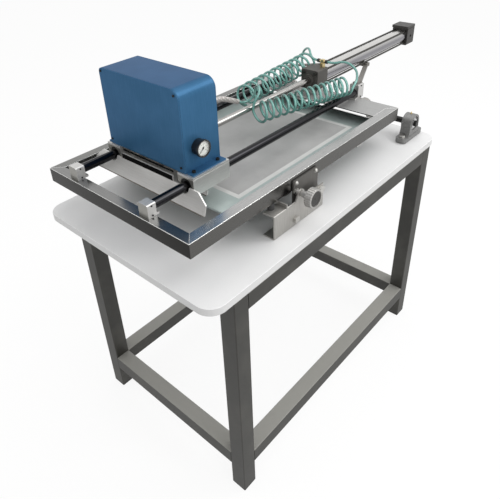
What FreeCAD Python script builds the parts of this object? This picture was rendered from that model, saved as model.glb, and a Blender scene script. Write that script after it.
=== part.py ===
"""Flatbed screen printer with a tilting print frame, standing on its own steel table.

Everything is in millimetres.  +X is the operator's right, +Y runs from the operator to the
rear and +Z is up.  Inside this file the middle of the table board is x = y = 0 and the floor
is z = 0.  export_all() moves the finished model along Y, so that the origin lies under the
middle of the whole machine, whose cylinder reaches out behind the table.
"""
import FreeCAD
import Part
import math
import os

Vector = FreeCAD.Vector

# Table
leg_side = 50.0
leg_wall = 2.0
leg_fillet = 3.0
foot_cap_height = 6.0
board_width = 662.4
board_length = 1114.4
board_thickness = 21.6
board_corner_radius = 46.0
board_edge_radius = 1.5
board_underside = 753.2
overhang_left = 24.0
overhang_right = 0.0
overhang_front = 72.0
overhang_rear = 46.0
lower_rail_height = 94.0
thread_depth = 14.0

# Pillow blocks that carry the hinge shaft
hinge_y = 488.5
hinge_height = 56.0
hinge_radius = 10.0
pillow_offset = 258.5
pillow_width = 38.0
pillow_length = 127.0
pillow_foot_height = 18.0
pillow_ring_radius = 31.0
pillow_ring_width = 34.0
pillow_seat_radius = 23.5
pillow_relief = 4.0
pillow_bolt_pitch = 95.0
pillow_bolt_radius = 5.0
insert_width = 31.0
insert_collar_radius = 16.0
shaft_overhang = 6.0
running_clearance = 0.05
seat_clearance = 0.02
rest_gap = 0.2

# Tilting print frame, made of four mitred channels
frame_left = -312.3
frame_right = 245.7
frame_front = -524.6
frame_rear = 412.0
frame_gap_below = 89.2
channel_height = 41.0
channel_wall = 3.0
top_flange = 30.0
bottom_flange = 26.0
deck_depth = 75.0
deck_lip = 4.0

# Stencil, held up against the bottom flanges
stencil_thickness = 6.0
stencil_border = 71.0
stencil_side_gap = 18.0
stencil_front = -347.0
stencil_rear = 369.0
stencil_front_bar = 80.0
stencil_rear_bar = 99.0
foil_thickness = 1.2
clip_length = 30.0
clip_width = 12.0
clip_tongue = 7.0
clip_thickness = 3.0
clip_rows = 2

# Hinge arms between the frame and the shaft
arm_spacing = 300.0
arm_thickness = 14.0
arm_hub_radius = 22.0
arm_foot_depth = 10.0
arm_foot_width = 44.0

# Guide rods and their blocks
rod_radius = 12.5
rod_pitch = 287.0
head_centre = -58.0
rod_height = 20.0
rod_block_width = 34.0
rod_block_depth = 26.0
rod_block_depth_rear = 34.0
front_block_height = 36.0
rear_block_height = 48.0
front_block_inset = 8.0
rear_block_overhang = 23.0
rod_end_inset = 5.0
block_chamfer = 4.0
block_foot_height = 6.0
block_foot_reach = 7.0
rear_foot_reach = 18.0

# Print head carriage
carriage_front = -379.0
carriage_depth = 129.0
bearing_block_width = 56.0
bearing_block_height = 46.0
bush_radius = 20.0
bush_length = 59.0
bush_inset = 2.0
bush_groove = 1.5
carriage_plate_thickness = 6.0
carriage_notch = 34.0

# Head cover
cover_width = 300.0
cover_shift = -8.0
cover_height = 214.0
cover_depth = 123.0
cover_wall = 3.0
cover_left_radius = 12.0
cover_right_radius = 28.0
cover_setback = 4.0
cover_screw_inset = 14.0
cover_left_screw_inset = 8.5
cover_boss_radius = 6.0
foot_flange_margin = 5.5
panel_screw_radius = 3.2
flange_screw_radius = 5.0
flange_screw_front = 17.0
flange_screw_rear = 22.0

# Pressure gauge on the cover's right side
gauge_y = -328.0
gauge_z = 1013.0
gauge_radius = 23.0
gauge_depth = 24.0
gauge_rim = 3.0
gauge_lens_thickness = 1.5
gauge_dial_depth = 6.0
needle_length = 15.0
needle_tail = 5.0
needle_thickness = 0.8
needle_hub_radius = 2.4
spindle_radius = 0.8

# Squeegee at the front of the head, flood bar under it
squeegee_width = 444.0
squeegee_drop = 22.0
squeegee_end_drop = 46.0
squeegee_shoulder = 30.0
squeegee_gap = 2.0
flood_width = 316.0
flood_drop = 48.0
flood_end_drop = 60.0
flood_shoulder = 24.0
flood_setback = 64.0
holder_plate = 4.0
holder_lift = 12.0
holder_slope = 0.28
rod_notch = 4.0
rod_notch_reach = 40.0
blade_margin = 7.0
blade_thickness = 2.0
blade_lift = 6.0
blade_grip = 16.0
web_width = 204.0
web_drop = 6.0
lift_flange_drop = 37.0
lift_pin_radius = 6.0
lift_pin_pitch = 160.0
lift_pin_rise = 46.0
front_lift_row = 44.0
rear_lift_row = 104.0
lift_rod_radius = 5.0
lift_bore_radius = 12.5
lift_piston_height = 8.0
lift_body_width = 40.0
lift_body_depth = 32.0
lift_body_height = 45.0
lift_body_wall = 6.0
lift_flange_margin = 10.0

# Drive cylinder
cylinder_height = 52.0
cap_side = 68.0
cap_length = 60.0
cap_front = 345.0
cap_chamfer = 3.0
tube_length = 590.0
tube_radius = 28.0
bore_radius = 25.0
tie_rod_radius = 3.5
tie_rod_pitch = 46.5
tie_nut_radius = 6.5
tie_nut_height = 5.0
port_plate_side = 72.0
port_plate_thickness = 9.0
port_radius = 5.6
port_depth = 14.0
gland_radius = 19.0
gland_length = 6.0
piston_rod_radius = 10.0
piston_length = 30.0
piston_front_gap = 12.0
piston_clearance = 0.1
front_foot_width = 60.0
front_foot_depth = 46.0
stay_reach = 684.0
stay_width = 18.0
stay_thickness = 6.0
stay_gap = 0.4
saddle_width = 70.0
saddle_depth = 22.0
saddle_thickness = 8.0

# Rod coupler on the back of the carriage
coupler_plate = 10.0
coupler_width = 64.0
coupler_below = 13.0
coupler_above = 22.0
coupler_radius = 16.0
coupler_length = 44.0
coupler_flat = 13.0

# Air fitting on the cylinder's front cap and the hoses
fitting_y = 399.0
fitting_offset = 16.0
fitting_hex_across = 17.0
fitting_hex_height = 13.0
fitting_body = 12.0
fitting_arm = 11.0
collar_radius = 6.5
collar_length = 9.0
hose_radius = 4.0
left_coil_radius = 38.0
right_coil_radius = 34.0
conduit_x = -112.0
conduit_radius = 8.0
conduit_drop = 39.2
conduit_high = 1003.0
conduit_bend_y = -45.0
conduit_end_y = 36.0
conduit_nut_radius = 12.0
conduit_nut_length = 10.0
left_coil = (Vector(-132, 88, 962), Vector(-132, 455, 984))
right_coil = (Vector(-11, 24, 957), Vector(104, 326, 977))
hose_spread = 4.5
hose_gap = 0.4
left_hose_lead = 62.0
right_hose_lead = 34.0
right_arch = [Vector(30, 48, 11.4), Vector(36, 46, 42.4), Vector(66, 26, 62.4), Vector(96, 2, 42.4)]
right_arch_foot = Vector(2, 14, 8)
left_bend = [Vector(-28, -8, 18), Vector(-8, -13, 38), Vector(20, -31, 46)]
left_port_bend = [Vector(-30, 0, 0)]
right_bend = [Vector(-5, -14, -1), Vector(8, 30, 6), Vector(-6, 66, 26)]
right_port_bend = [Vector(62, 4, 14), Vector(26, 0, 0)]

# Side brackets, rest bumpers and the clamp
bracket_front = -263.0
bracket_length = 215.0
bracket_step = 50.0
bracket_plate = 4.0
bracket_height = 71.7
bracket_base = 36.9
right_bracket_face = 270.6
left_bracket_face = -324.0
bracket_web_height = 83.0
bracket_bend = 5.0
ear_half_width = 24.0
ear_radius = 13.0
bumper_radius = 9.0
bumper_inset = 6.0
bumper_y = -238.0
bracket_bolt_radius = 4.0
bracket_bolt_margin = 26.0
side_bolt_radius = 5.5
side_bolt_y = -174.0
side_bolt_height = 20.0
guide_bolt_margin = 13.0
lock_plate_thickness = 5.0
lock_plate_front = -158.0
lock_plate_rear = -47.0
lock_plate_top = 12.0
lock_plate_bottom = 52.0
lock_plate_corner = 6.0
clamp_y = -150.0
clamp_height = 87.2
clamp_screw_radius = 6.0
clamp_tip_radius = 4.0
clamp_shoe_radius = 9.0
clamp_shoe_thickness = 5.0
clamp_shoe_floor = 2.0
clamp_cone_small = 7.5
clamp_cone_large = 15.0
clamp_cone_length = 24.0
clamp_cone_gap = 1.0
knob_radius = 27.0
knob_width = 21.0
knob_face_radius = 22.0
knob_face_depth = 2.0
knob_notches = 24
knob_notch_radius = 1.6
knob_bore_depth = 12.0

# Sizes that follow from the ones above
board_top = board_underside + board_thickness
half_width = board_width / 2
half_length = board_length / 2
leg_x = (-half_width + overhang_left, half_width - overhang_right)
leg_y = (-half_length + overhang_front, half_length - overhang_rear)
hinge_z = board_top + hinge_height
frame_bottom = board_top + frame_gap_below
frame_top = frame_bottom + channel_height
frame_centre = (frame_left + frame_right) / 2
stencil_top = frame_bottom
stencil_bottom = stencil_top - stencil_thickness
stencil_left = frame_left + stencil_side_gap
stencil_right = frame_right - stencil_side_gap
rod_z = frame_top + rod_height
rod_x = (head_centre - rod_pitch / 2, head_centre + rod_pitch / 2)
front_block_y = frame_front + front_block_inset
rear_block_y = frame_rear + rear_block_overhang - rod_block_depth_rear
carriage_rear = carriage_front + carriage_depth
carriage_left = rod_x[0] - bearing_block_width / 2
carriage_right = rod_x[1] + bearing_block_width / 2
block_bottom = rod_z - bearing_block_height / 2
block_top = rod_z + bearing_block_height / 2
plate_top = block_top + carriage_plate_thickness
cover_left = head_centre + cover_shift - cover_width / 2
cover_right = cover_left + cover_width
cover_top = plate_top + cover_height
cover_front = carriage_front + cover_setback
cover_rear = cover_front + cover_depth
axis_x = head_centre
axis_z = frame_top + cylinder_height
tube_front = cap_front + cap_length
tube_rear = tube_front + tube_length
fitting_x = axis_x + fitting_offset
cylinder_rear = tube_rear + cap_length
lift_rows = (carriage_front + front_lift_row, carriage_front + rear_lift_row)
clamp_z = board_top + clamp_height
lock_face = frame_right + lock_plate_thickness
shoe_x = lock_face + rest_gap
right_plate_inner = right_bracket_face - bracket_plate
blade_tip = stencil_top + blade_lift
squeegee_top = block_top - squeegee_drop
squeegee_end_top = block_top - squeegee_end_drop
flood_top = block_top - flood_drop
flood_end_top = block_top - flood_end_drop
holder_bottom = stencil_top + holder_lift
web_top_front = block_top - web_drop
lift_flange_height = block_top - lift_flange_drop
lift_pin_top = plate_top + lift_pin_rise


def box(x, y, z):
    """A block between the given (low, high) pairs."""
    size = (x[1] - x[0], y[1] - y[0], z[1] - z[0])
    return Part.makeBox(size[0], size[1], size[2], Vector(x[0], y[0], z[0]))


def bar_x(radius, x, y, z):
    """A round bar along X."""
    return Part.makeCylinder(radius, x[1] - x[0], Vector(x[0], y, z), Vector(1, 0, 0))


def bar_y(radius, x, y, z):
    """A round bar along Y."""
    return Part.makeCylinder(radius, y[1] - y[0], Vector(x, y[0], z), Vector(0, 1, 0))


def bar_z(radius, x, y, z):
    """A round bar along Z."""
    return Part.makeCylinder(radius, z[1] - z[0], Vector(x, y, z[0]), Vector(0, 0, 1))


def polygon(points):
    """A flat face inside a closed run of points."""
    return Part.Face(Part.makePolygon(points + [points[0]]))


def slab_x(points, x):
    """An outline of (y, z) points given a thickness along X."""
    face = polygon([Vector(x[0], y, z) for y, z in points])
    return face.extrude(Vector(x[1] - x[0], 0, 0))


def slab_y(points, y):
    """An outline of (x, z) points given a thickness along Y."""
    face = polygon([Vector(x, y[0], z) for x, z in points])
    return face.extrude(Vector(0, y[1] - y[0], 0))


def slab_z(points, z):
    """An outline of (x, y) points given a thickness along Z."""
    face = polygon([Vector(x, y, z[0]) for x, y in points])
    return face.extrude(Vector(0, 0, z[1] - z[0]))


def edges_along(shape, axis):
    """The straight edges of a shape that run along one axis, 0 for X, 1 for Y, 2 for Z."""
    found = []
    for edge in shape.Edges:
        if edge.Curve.TypeId != "Part::GeomLine":
            continue
        direction = edge.Vertexes[1].Point - edge.Vertexes[0].Point
        if abs(direction[axis]) > 0.999 * direction.Length:
            found.append(edge)
    return found


def hexagon(across, x, y, z):
    """An upright hexagonal prism, by its width across flats."""
    corner = across / math.sqrt(3)
    turns = [math.radians(60 * step) for step in range(6)]
    return slab_z([(x + corner * math.cos(a), y + corner * math.sin(a)) for a in turns], z)


def tube_bar(outer, wall, axis):
    """A square tube, open at its two ends along one axis."""
    inner = [(low + wall, high - wall) for low, high in outer]
    inner[axis] = (outer[axis][0] - 1, outer[axis][1] + 1)
    body = box(*outer)
    body = body.makeFillet(leg_fillet, edges_along(body, axis))
    return body.cut(box(*inner))


def make_table(bolt_places):
    """The welded stand with its plastic caps, and the board with its tapped holes."""
    near_x = (leg_x[0], leg_x[0] + leg_side)
    far_x = (leg_x[1] - leg_side, leg_x[1])
    near_y = (leg_y[0], leg_y[0] + leg_side)
    far_y = (leg_y[1] - leg_side, leg_y[1])
    corners = [(x, y) for x in (near_x, far_x) for y in (near_y, far_y)]
    legs = [tube_bar([x, y, (foot_cap_height, board_underside)], leg_wall, 2) for x, y in corners]
    caps = [box(x, y, (0, foot_cap_height)) for x, y in corners]
    caps = [cap.makeFillet(leg_fillet, edges_along(cap, 2)) for cap in caps]

    def ring(z):
        """Four rails between the legs at one height."""
        rails = [tube_bar([(near_x[1], far_x[0]), y, z], leg_wall, 0) for y in (near_y, far_y)]
        rails += [tube_bar([x, (near_y[1], far_y[0]), z], leg_wall, 1) for x in (near_x, far_x)]
        return rails

    board = box((-half_width, half_width), (-half_length, half_length), (board_underside, board_top))
    board = board.makeFillet(board_corner_radius, edges_along(board, 2))
    rims = [edge for edge in board.Edges if abs(edge.BoundBox.ZMax - edge.BoundBox.ZMin) < 1e-6]
    board = board.makeFillet(board_edge_radius, rims)
    for x, y, radius in bolt_places:
        hole = bar_z(radius + seat_clearance, x, y, (board_top - thread_depth, board_top + 1))
        board = board.cut(hole)
    return {
        "table_legs": legs,
        "foot_caps": caps,
        "table_top_rails": ring((board_underside - leg_side, board_underside)),
        "table_lower_rails": ring((lower_rail_height, lower_rail_height + leg_side)),
        "table_top": [board],
    }


def pillow_bolt_places():
    """Where the pillow blocks are bolted to the board."""
    return [(side * pillow_offset, hinge_y + end * pillow_bolt_pitch / 2, pillow_bolt_radius)
            for side in (-1, 1) for end in (-1, 1)]


def cap_screw(x, y, seat, radius, length):
    """An upright hex-head screw with a washer, its head above the seat and its shank below."""
    washer = bar_z(radius * 2.0, x, y, (seat, seat + radius * 0.3))
    head = hexagon(radius * 3.4, x, y, (seat + radius * 0.3, seat + radius * 1.6))
    shank = bar_z(radius - seat_clearance, x, y, (seat - length, seat + radius * 0.4))
    return washer.fuse([head, shank]).removeSplitter()


def make_pillow_block(x):
    """One cast housing: a foot with rounded ends, a ring, and a web that blends them."""
    half = pillow_width / 2
    foot = box((x - half, x + half), (hinge_y - pillow_length / 2, hinge_y + pillow_length / 2),
               (board_top + pillow_relief, board_top + pillow_foot_height))
    foot = foot.makeFillet(half * 0.6, edges_along(foot, 2))
    sole = box((x - half + 2, x + half - 2),
               (hinge_y - pillow_length / 2 + 2, hinge_y + pillow_length / 2 - 2),
               (board_top, board_top + pillow_relief))
    sole = sole.makeFillet(half * 0.5, edges_along(sole, 2))
    ring_x = (x - pillow_ring_width / 2, x + pillow_ring_width / 2)
    ring = bar_x(pillow_ring_radius, ring_x, hinge_y, hinge_z)
    base_z = board_top + pillow_foot_height - 1
    flare = pillow_ring_radius * 1.12
    web = slab_x([(hinge_y - flare, base_z), (hinge_y + flare, base_z),
                  (hinge_y + pillow_ring_radius * 0.94, hinge_z - pillow_ring_radius * 0.34),
                  (hinge_y - pillow_ring_radius * 0.94, hinge_z - pillow_ring_radius * 0.34)], ring_x)
    body = foot.fuse([sole, ring, web]).removeSplitter()
    body = body.cut(bar_x(pillow_seat_radius, (ring_x[0] - 5, ring_x[1] + 5), hinge_y, hinge_z))
    for end in (-1, 1):
        hole = bar_z(pillow_bolt_radius + 0.3, x, hinge_y + end * pillow_bolt_pitch / 2,
                     (board_top - 1, board_top + pillow_foot_height + 1))
        body = body.cut(hole)
    return body


def make_insert(x, outward):
    """A ball bearing insert, its locking collar on the outer side."""
    half = insert_width / 2
    ring = bar_x(pillow_seat_radius - seat_clearance, (x - half * 0.7, x + half * 0.7), hinge_y, hinge_z)
    collar = bar_x(insert_collar_radius, (x - half, x + half), hinge_y, hinge_z)
    screw = Part.makeCylinder(2.0, 3.0, Vector(x + outward * half * 0.85, hinge_y, hinge_z
                                               + insert_collar_radius - 1.5), Vector(0, 0, 1))
    bore = bar_x(hinge_radius + running_clearance, (x - insert_width, x + insert_width), hinge_y, hinge_z)
    return ring.fuse([collar, screw]).cut(bore)


def make_hinge_supports():
    """Both pillow blocks with their inserts and bolts."""
    seat = board_top + pillow_foot_height
    shank = pillow_foot_height + thread_depth - 1
    return {
        "pillow_blocks": [make_pillow_block(side * pillow_offset) for side in (-1, 1)],
        "pillow_bearing_inserts": [make_insert(side * pillow_offset, side) for side in (-1, 1)],
        "pillow_block_bolts": [cap_screw(x, y, seat, radius, shank)
                               for x, y, radius in pillow_bolt_places()],
    }


def bracket_bolt_places():
    """Where the two side brackets are bolted to the board, with the bolt's radius."""
    places = []
    for face, inward in ((right_bracket_face, -1), (left_bracket_face, 1)):
        x = face + inward * bracket_base * 0.62
        for y in (bracket_front + bracket_step + bracket_bolt_margin,
                  bracket_front + bracket_length - bracket_bolt_margin):
            places.append((x, y, bracket_bolt_radius))
    return places


def span(start, reach):
    """A (low, high) pair from a start and a signed reach."""
    return (min(start, start + reach), max(start, start + reach))


def make_bracket(face, inward, with_ear):
    """A folded side bracket: base, outer plate, front shelf for the bumper, and cross web."""
    rear = bracket_front + bracket_length
    top = board_top + bracket_height
    plate_x = span(face, inward * bracket_plate)
    full_x = span(face, inward * bracket_base)
    outline = [(bracket_front, board_top), (rear, board_top), (rear, top), (bracket_front, top)]
    plate = slab_x(outline, plate_x)
    base = box(full_x, (bracket_front, rear), (board_top, board_top + bracket_plate))
    shelf = box(full_x, (bracket_front, bracket_front + bracket_step), (top - bracket_plate, top))
    web_y = bracket_front + bracket_step
    web = box(full_x, (web_y, web_y + bracket_plate), (board_top, board_top + bracket_web_height))
    body = plate.fuse([base, shelf, web])
    if with_ear:
        ear_points = [(clamp_y - ear_half_width, top - 1), (clamp_y + ear_half_width, top - 1),
                      (clamp_y + ear_radius * 0.96, clamp_z + ear_radius * 0.28),
                      (clamp_y - ear_radius * 0.96, clamp_z + ear_radius * 0.28)]
        body = body.fuse([slab_x(ear_points, plate_x), bar_x(ear_radius, plate_x, clamp_y, clamp_z)])
    body = body.removeSplitter()
    fold = [edge for edge in edges_along(body, 1)
            if abs(edge.BoundBox.XMin - face) < 1e-6
            and (abs(edge.BoundBox.ZMin - board_top) < 1e-6
                 or (abs(edge.BoundBox.ZMin - top) < 1e-6 and edge.Length < bracket_step + 1))]
    if fold:
        body = body.makeFillet(bracket_bend * 0.6, fold)
    if with_ear:
        bore = bar_x(clamp_screw_radius, (plate_x[0] - 1, plate_x[1] + 1), clamp_y, clamp_z)
        body = body.cut(bore)
    side_holes = [(side_bolt_y, board_top + side_bolt_height),
                  (rear - guide_bolt_margin, top - guide_bolt_margin)]
    for y, z in side_holes:
        body = body.cut(bar_x(side_bolt_radius, (plate_x[0] - 1, plate_x[1] + 1), y, z))
    for x, y, radius in bracket_bolt_places():
        hole = bar_z(radius + 0.2, x, y, (board_top - 1, board_top + bracket_plate + 1))
        body = body.cut(hole)
    return body


def side_bolt(face, outward, y, z):
    """A hex bolt through a bracket's outer plate, its nut on the inside."""
    head_low = span(face, outward * side_bolt_radius * 1.3)
    nut = span(face - outward * bracket_plate, -outward * side_bolt_radius)
    corner = side_bolt_radius * 1.9
    turns = [math.radians(60 * step + 30) for step in range(6)]
    outline = [(y + corner * math.cos(a), z + corner * math.sin(a)) for a in turns]
    shank = bar_x(side_bolt_radius - seat_clearance,
                  (min(head_low[0], nut[0]), max(head_low[1], nut[1])), y, z)
    return shank.fuse([slab_x(outline, head_low), slab_x(outline, nut)]).removeSplitter()


def bumper_places():
    """The x of each rest bumper, under the frame's two side walls."""
    return (frame_left + bumper_inset, frame_right - bumper_inset)


def make_brackets():
    """The side brackets with the bumpers that the frame rests on, and their bolts."""
    shelf_top = board_top + bracket_height
    bumpers = []
    for x in bumper_places():
        pad = bar_z(bumper_radius, x, bumper_y, (shelf_top, frame_bottom - rest_gap))
        rim = [edge for edge in pad.Edges
               if edge.Curve.TypeId == "Part::GeomCircle" and edge.BoundBox.ZMin > shelf_top + 1]
        bumpers.append(pad.makeFillet(2.0, rim))
    seat = board_top + bracket_plate
    bolts = [cap_screw(x, y, seat, radius, bracket_plate + thread_depth - 1)
             for x, y, radius in bracket_bolt_places()]
    rear = bracket_front + bracket_length
    side_places = ((side_bolt_y, board_top + side_bolt_height),
                   (rear - guide_bolt_margin, shelf_top - guide_bolt_margin))
    for face, outward in ((right_bracket_face, 1), (left_bracket_face, -1)):
        bolts += [side_bolt(face, outward, y, z) for y, z in side_places]
    return {
        "side_bracket_right": [make_bracket(right_bracket_face, -1, True)],
        "side_bracket_left": [make_bracket(left_bracket_face, 1, False)],
        "rest_bumpers": bumpers,
        "bracket_bolts": bolts,
    }


def make_clamp():
    """The hand clamp that locks the frame down: shoe, screw with its cone, and knob."""
    cone_start = right_bracket_face + clamp_cone_gap
    cone_end = cone_start + clamp_cone_length
    knob_end = cone_end + knob_width
    shoe = bar_x(clamp_shoe_radius, (shoe_x, shoe_x + clamp_shoe_thickness), clamp_y, clamp_z)
    socket = bar_x(clamp_tip_radius + running_clearance,
                   (shoe_x + clamp_shoe_floor, shoe_x + clamp_shoe_thickness + 1), clamp_y, clamp_z)
    tip = bar_x(clamp_tip_radius, (shoe_x + clamp_shoe_floor + seat_clearance, right_plate_inner),
                clamp_y, clamp_z)
    thread = bar_x(clamp_screw_radius - running_clearance,
                   (shoe_x + clamp_shoe_thickness + 1.5, cone_end + knob_bore_depth), clamp_y, clamp_z)
    cone = Part.makeCone(clamp_cone_small, clamp_cone_large, clamp_cone_length,
                         Vector(cone_start, clamp_y, clamp_z), Vector(1, 0, 0))
    knob = bar_x(knob_radius, (cone_end, knob_end), clamp_y, clamp_z)
    rims = [edge for edge in knob.Edges if edge.Curve.TypeId == "Part::GeomCircle"]
    knob = knob.makeFillet(2.5, rims)
    knob = knob.cut(bar_x(knob_face_radius, (knob_end - knob_face_depth, knob_end + 1),
                          clamp_y, clamp_z))
    knob = knob.cut(bar_x(clamp_screw_radius + seat_clearance - running_clearance,
                          (cone_end - 1, cone_end + knob_bore_depth), clamp_y, clamp_z))
    notches = []
    for step in range(knob_notches):
        turn = 2 * math.pi * step / knob_notches
        notches.append(bar_x(knob_notch_radius, (cone_end - 1, knob_end + 1),
                             clamp_y + knob_radius * math.cos(turn),
                             clamp_z + knob_radius * math.sin(turn)))
    return {
        "clamp_shoe": [shoe.cut(socket)],
        "clamp_screw": [tip.fuse([thread, cone]).removeSplitter()],
        "clamp_knob": [knob.cut(notches)],
    }


def make_rails():
    """Four mitred channels, the rear one with a wide deck for the rods and the cylinder."""
    outer_x = (frame_left, frame_right)
    outer_y = (frame_front, frame_rear)
    height = (frame_bottom, frame_top)

    def inset(amount, z):
        """The frame's plan, shrunk by an amount on all four sides."""
        return box((outer_x[0] + amount, outer_x[1] - amount),
                   (outer_y[0] + amount, outer_y[1] - amount), z)

    ring = box(outer_x, outer_y, height)
    ring = ring.makeFillet(1.2, [e for e in ring.Edges if abs(e.BoundBox.ZMin - frame_top) < 1e-6])
    ring = ring.cut(inset(channel_wall, (frame_bottom + channel_wall, frame_top - channel_wall)))
    ring = ring.cut(inset(top_flange, (frame_top - channel_wall - 1, frame_top + 1)))
    ring = ring.cut(inset(bottom_flange, (frame_bottom - 1, frame_bottom + channel_wall + 1)))
    reach = (frame_right - frame_left) / 2
    tall = (frame_bottom - 5, frame_top + 5)
    left, right, front, rear = frame_left, frame_right, frame_front, frame_rear
    mitres = {
        "front_rail": [(left, front), (right, front), (right - reach, front + reach)],
        "rear_rail": [(left, rear), (left + reach, rear - reach), (right, rear)],
        "left_rail": [(left, front), (left + reach, front + reach),
                      (left + reach, rear - reach), (left, rear)],
        "right_rail": [(right, front), (right, rear), (right - reach, rear - reach),
                       (right - reach, front + reach)],
    }
    rails = {name: ring.common(slab_z(plan, tall)) for name, plan in mitres.items()}
    deck_y = (rear - top_flange - deck_depth, rear - top_flange)
    deck_x = (left + top_flange, right - top_flange)
    deck = box(deck_x, deck_y, (frame_top - channel_wall, frame_top))
    lip = box(deck_x, (deck_y[0], deck_y[0] + channel_wall), (frame_top - deck_lip, frame_top))
    rails["rear_rail"] = rails["rear_rail"].fuse([deck, lip]).removeSplitter()
    return {name: [shape] for name, shape in rails.items()}


def make_stencil():
    """The stencil's border with its foil, and the clips that hold it under the side rails."""
    outer = box((stencil_left, stencil_right), (stencil_front, stencil_rear),
                (stencil_bottom, stencil_top - seat_clearance))
    field_x = (stencil_left + stencil_border, stencil_right - stencil_border)
    field_y = (stencil_front + stencil_front_bar, stencil_rear - stencil_rear_bar)
    border = outer.cut(box(field_x, field_y, (stencil_bottom - 1, stencil_top + 1)))
    foil_top = stencil_top - seat_clearance
    foil = box(field_x, field_y, (foil_top - foil_thickness, foil_top))
    clips = []
    pitch = (stencil_rear - stencil_front) / clip_rows
    for row in range(clip_rows):
        y = stencil_front + pitch * (row + 0.5)
        length = (y - clip_length / 2, y + clip_length / 2)
        for edge, outward in ((stencil_left, -1), (stencil_right, 1)):
            block = box(span(edge + outward * rest_gap, outward * clip_width), length,
                        (stencil_bottom - clip_thickness, frame_bottom))
            tongue = box(span(edge + outward * (rest_gap + 1), -outward * (clip_tongue + 1)), length,
                         (stencil_bottom - clip_thickness, stencil_bottom - seat_clearance))
            clips.append(block.fuse(tongue).removeSplitter())
    return {"stencil_frame": [border], "stencil_foil": [foil], "stencil_clips": clips}


def arm_places():
    """The middle of each hinge arm along X."""
    return (frame_centre - arm_spacing / 2, frame_centre + arm_spacing / 2)


def make_hinge():
    """The shaft and the two arms that join it to the frame's rear wall."""
    reach = pillow_offset + pillow_width / 2 + shaft_overhang
    shaft = bar_x(hinge_radius, (-reach, reach), hinge_y, hinge_z)
    arms = []
    for x in arm_places():
        body_x = (x - arm_thickness / 2, x + arm_thickness / 2)
        foot = box((x - arm_foot_width / 2, x + arm_foot_width / 2),
                   (frame_rear, frame_rear + arm_foot_depth), (frame_bottom + 1, frame_top - 1))
        side = arm_hub_radius * math.sqrt(0.5)
        web = slab_x([(frame_rear, frame_bottom + 1), (frame_rear, frame_top - 1),
                      (frame_rear + arm_foot_depth * 2, frame_top - 1),
                      (hinge_y + side, hinge_z + side), (hinge_y - side, hinge_z - side)], body_x)
        hub = bar_x(arm_hub_radius, (x - arm_thickness, x + arm_thickness), hinge_y, hinge_z)
        arm = foot.fuse([web, hub]).removeSplitter()
        bore = bar_x(hinge_radius + seat_clearance, (x - 2 * arm_thickness, x + 2 * arm_thickness),
                     hinge_y, hinge_z)
        arms.append(arm.cut(bore))
    return {"hinge_shaft": [shaft], "hinge_arms": arms}


def make_rod_block(x, y, height, foot_y, bore_y):
    """A shaft support: an upright block with its bore, and a low foot towards the middle."""
    half = rod_block_width / 2
    block = box((x - half, x + half), y, (frame_top, frame_top + height))
    tops = [edge for edge in edges_along(block, 1) if edge.BoundBox.ZMin > frame_top + 1]
    block = block.makeFillet(block_chamfer, tops)
    foot = box((x - half, x + half), foot_y, (frame_top, frame_top + block_foot_height))
    bore = bar_y(rod_radius + seat_clearance, x, bore_y, rod_z)
    return block.fuse(foot).removeSplitter().cut(bore)


def make_rods():
    """The two guide rods and the four blocks that hold their ends."""
    front_y = (front_block_y, front_block_y + rod_block_depth)
    rear_y = (rear_block_y, rear_block_y + rod_block_depth_rear)
    front_foot = (front_y[1] - 1, front_y[1] + block_foot_reach)
    rear_foot = (rear_y[0] - rear_foot_reach, rear_y[0] + 1)
    rod_y = (front_y[0] + rod_end_inset, rear_y[1] - rod_end_inset)
    rods = [bar_y(rod_radius, x, rod_y, rod_z) for x in rod_x]
    blind = (rod_y[0] - seat_clearance, front_y[1] + 1)
    through = (rear_y[0] - 1, rear_y[1] + 1)
    return {
        "guide_rods": rods,
        "front_rod_blocks": [make_rod_block(x, front_y, front_block_height, front_foot, blind)
                             for x in rod_x],
        "rear_rod_blocks": [make_rod_block(x, rear_y, rear_block_height, rear_foot, through)
                            for x in rod_x],
    }


def make_cap(y, bore):
    """A square end cap of the drive cylinder, with chamfered long edges."""
    half = cap_side / 2
    cap = box((axis_x - half, axis_x + half), y, (axis_z - half, axis_z + half))
    cap = cap.makeChamfer(cap_chamfer, edges_along(cap, 1))
    if bore:
        cap = cap.fuse(bar_y(gland_radius, axis_x, (y[0] - gland_length, y[0]), axis_z))
        cap = cap.cut(bar_y(piston_rod_radius + running_clearance, axis_x,
                            (y[0] - gland_length - 1, y[1] + 1), axis_z))
    for x, z in tie_rod_places():
        cap = cap.cut(bar_y(tie_rod_radius + seat_clearance, x, (y[0] - 1, y[1] + 1), z))
    return cap


def make_rear_cap(y):
    """The rear cap, with a port plate on top and a tapped air port in its side."""
    half = port_plate_side / 2
    top = axis_z + cap_side / 2
    middle = (y[0] + y[1]) / 2
    plate = box((axis_x - half, axis_x + half), (middle - half, y[1]), (top, top + port_plate_thickness))
    plate = plate.makeFillet(4.0, edges_along(plate, 2))
    port = bar_x(port_radius, (axis_x + cap_side / 2 - port_depth, axis_x + cap_side), middle, axis_z)
    return make_cap(y, False).fuse(plate).removeSplitter().cut(port)


def tie_rod_places():
    """The four tie rods round the tube."""
    half = tie_rod_pitch / 2
    return [(axis_x + i * half, axis_z + k * half) for i in (-1, 1) for k in (-1, 1)]


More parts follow.
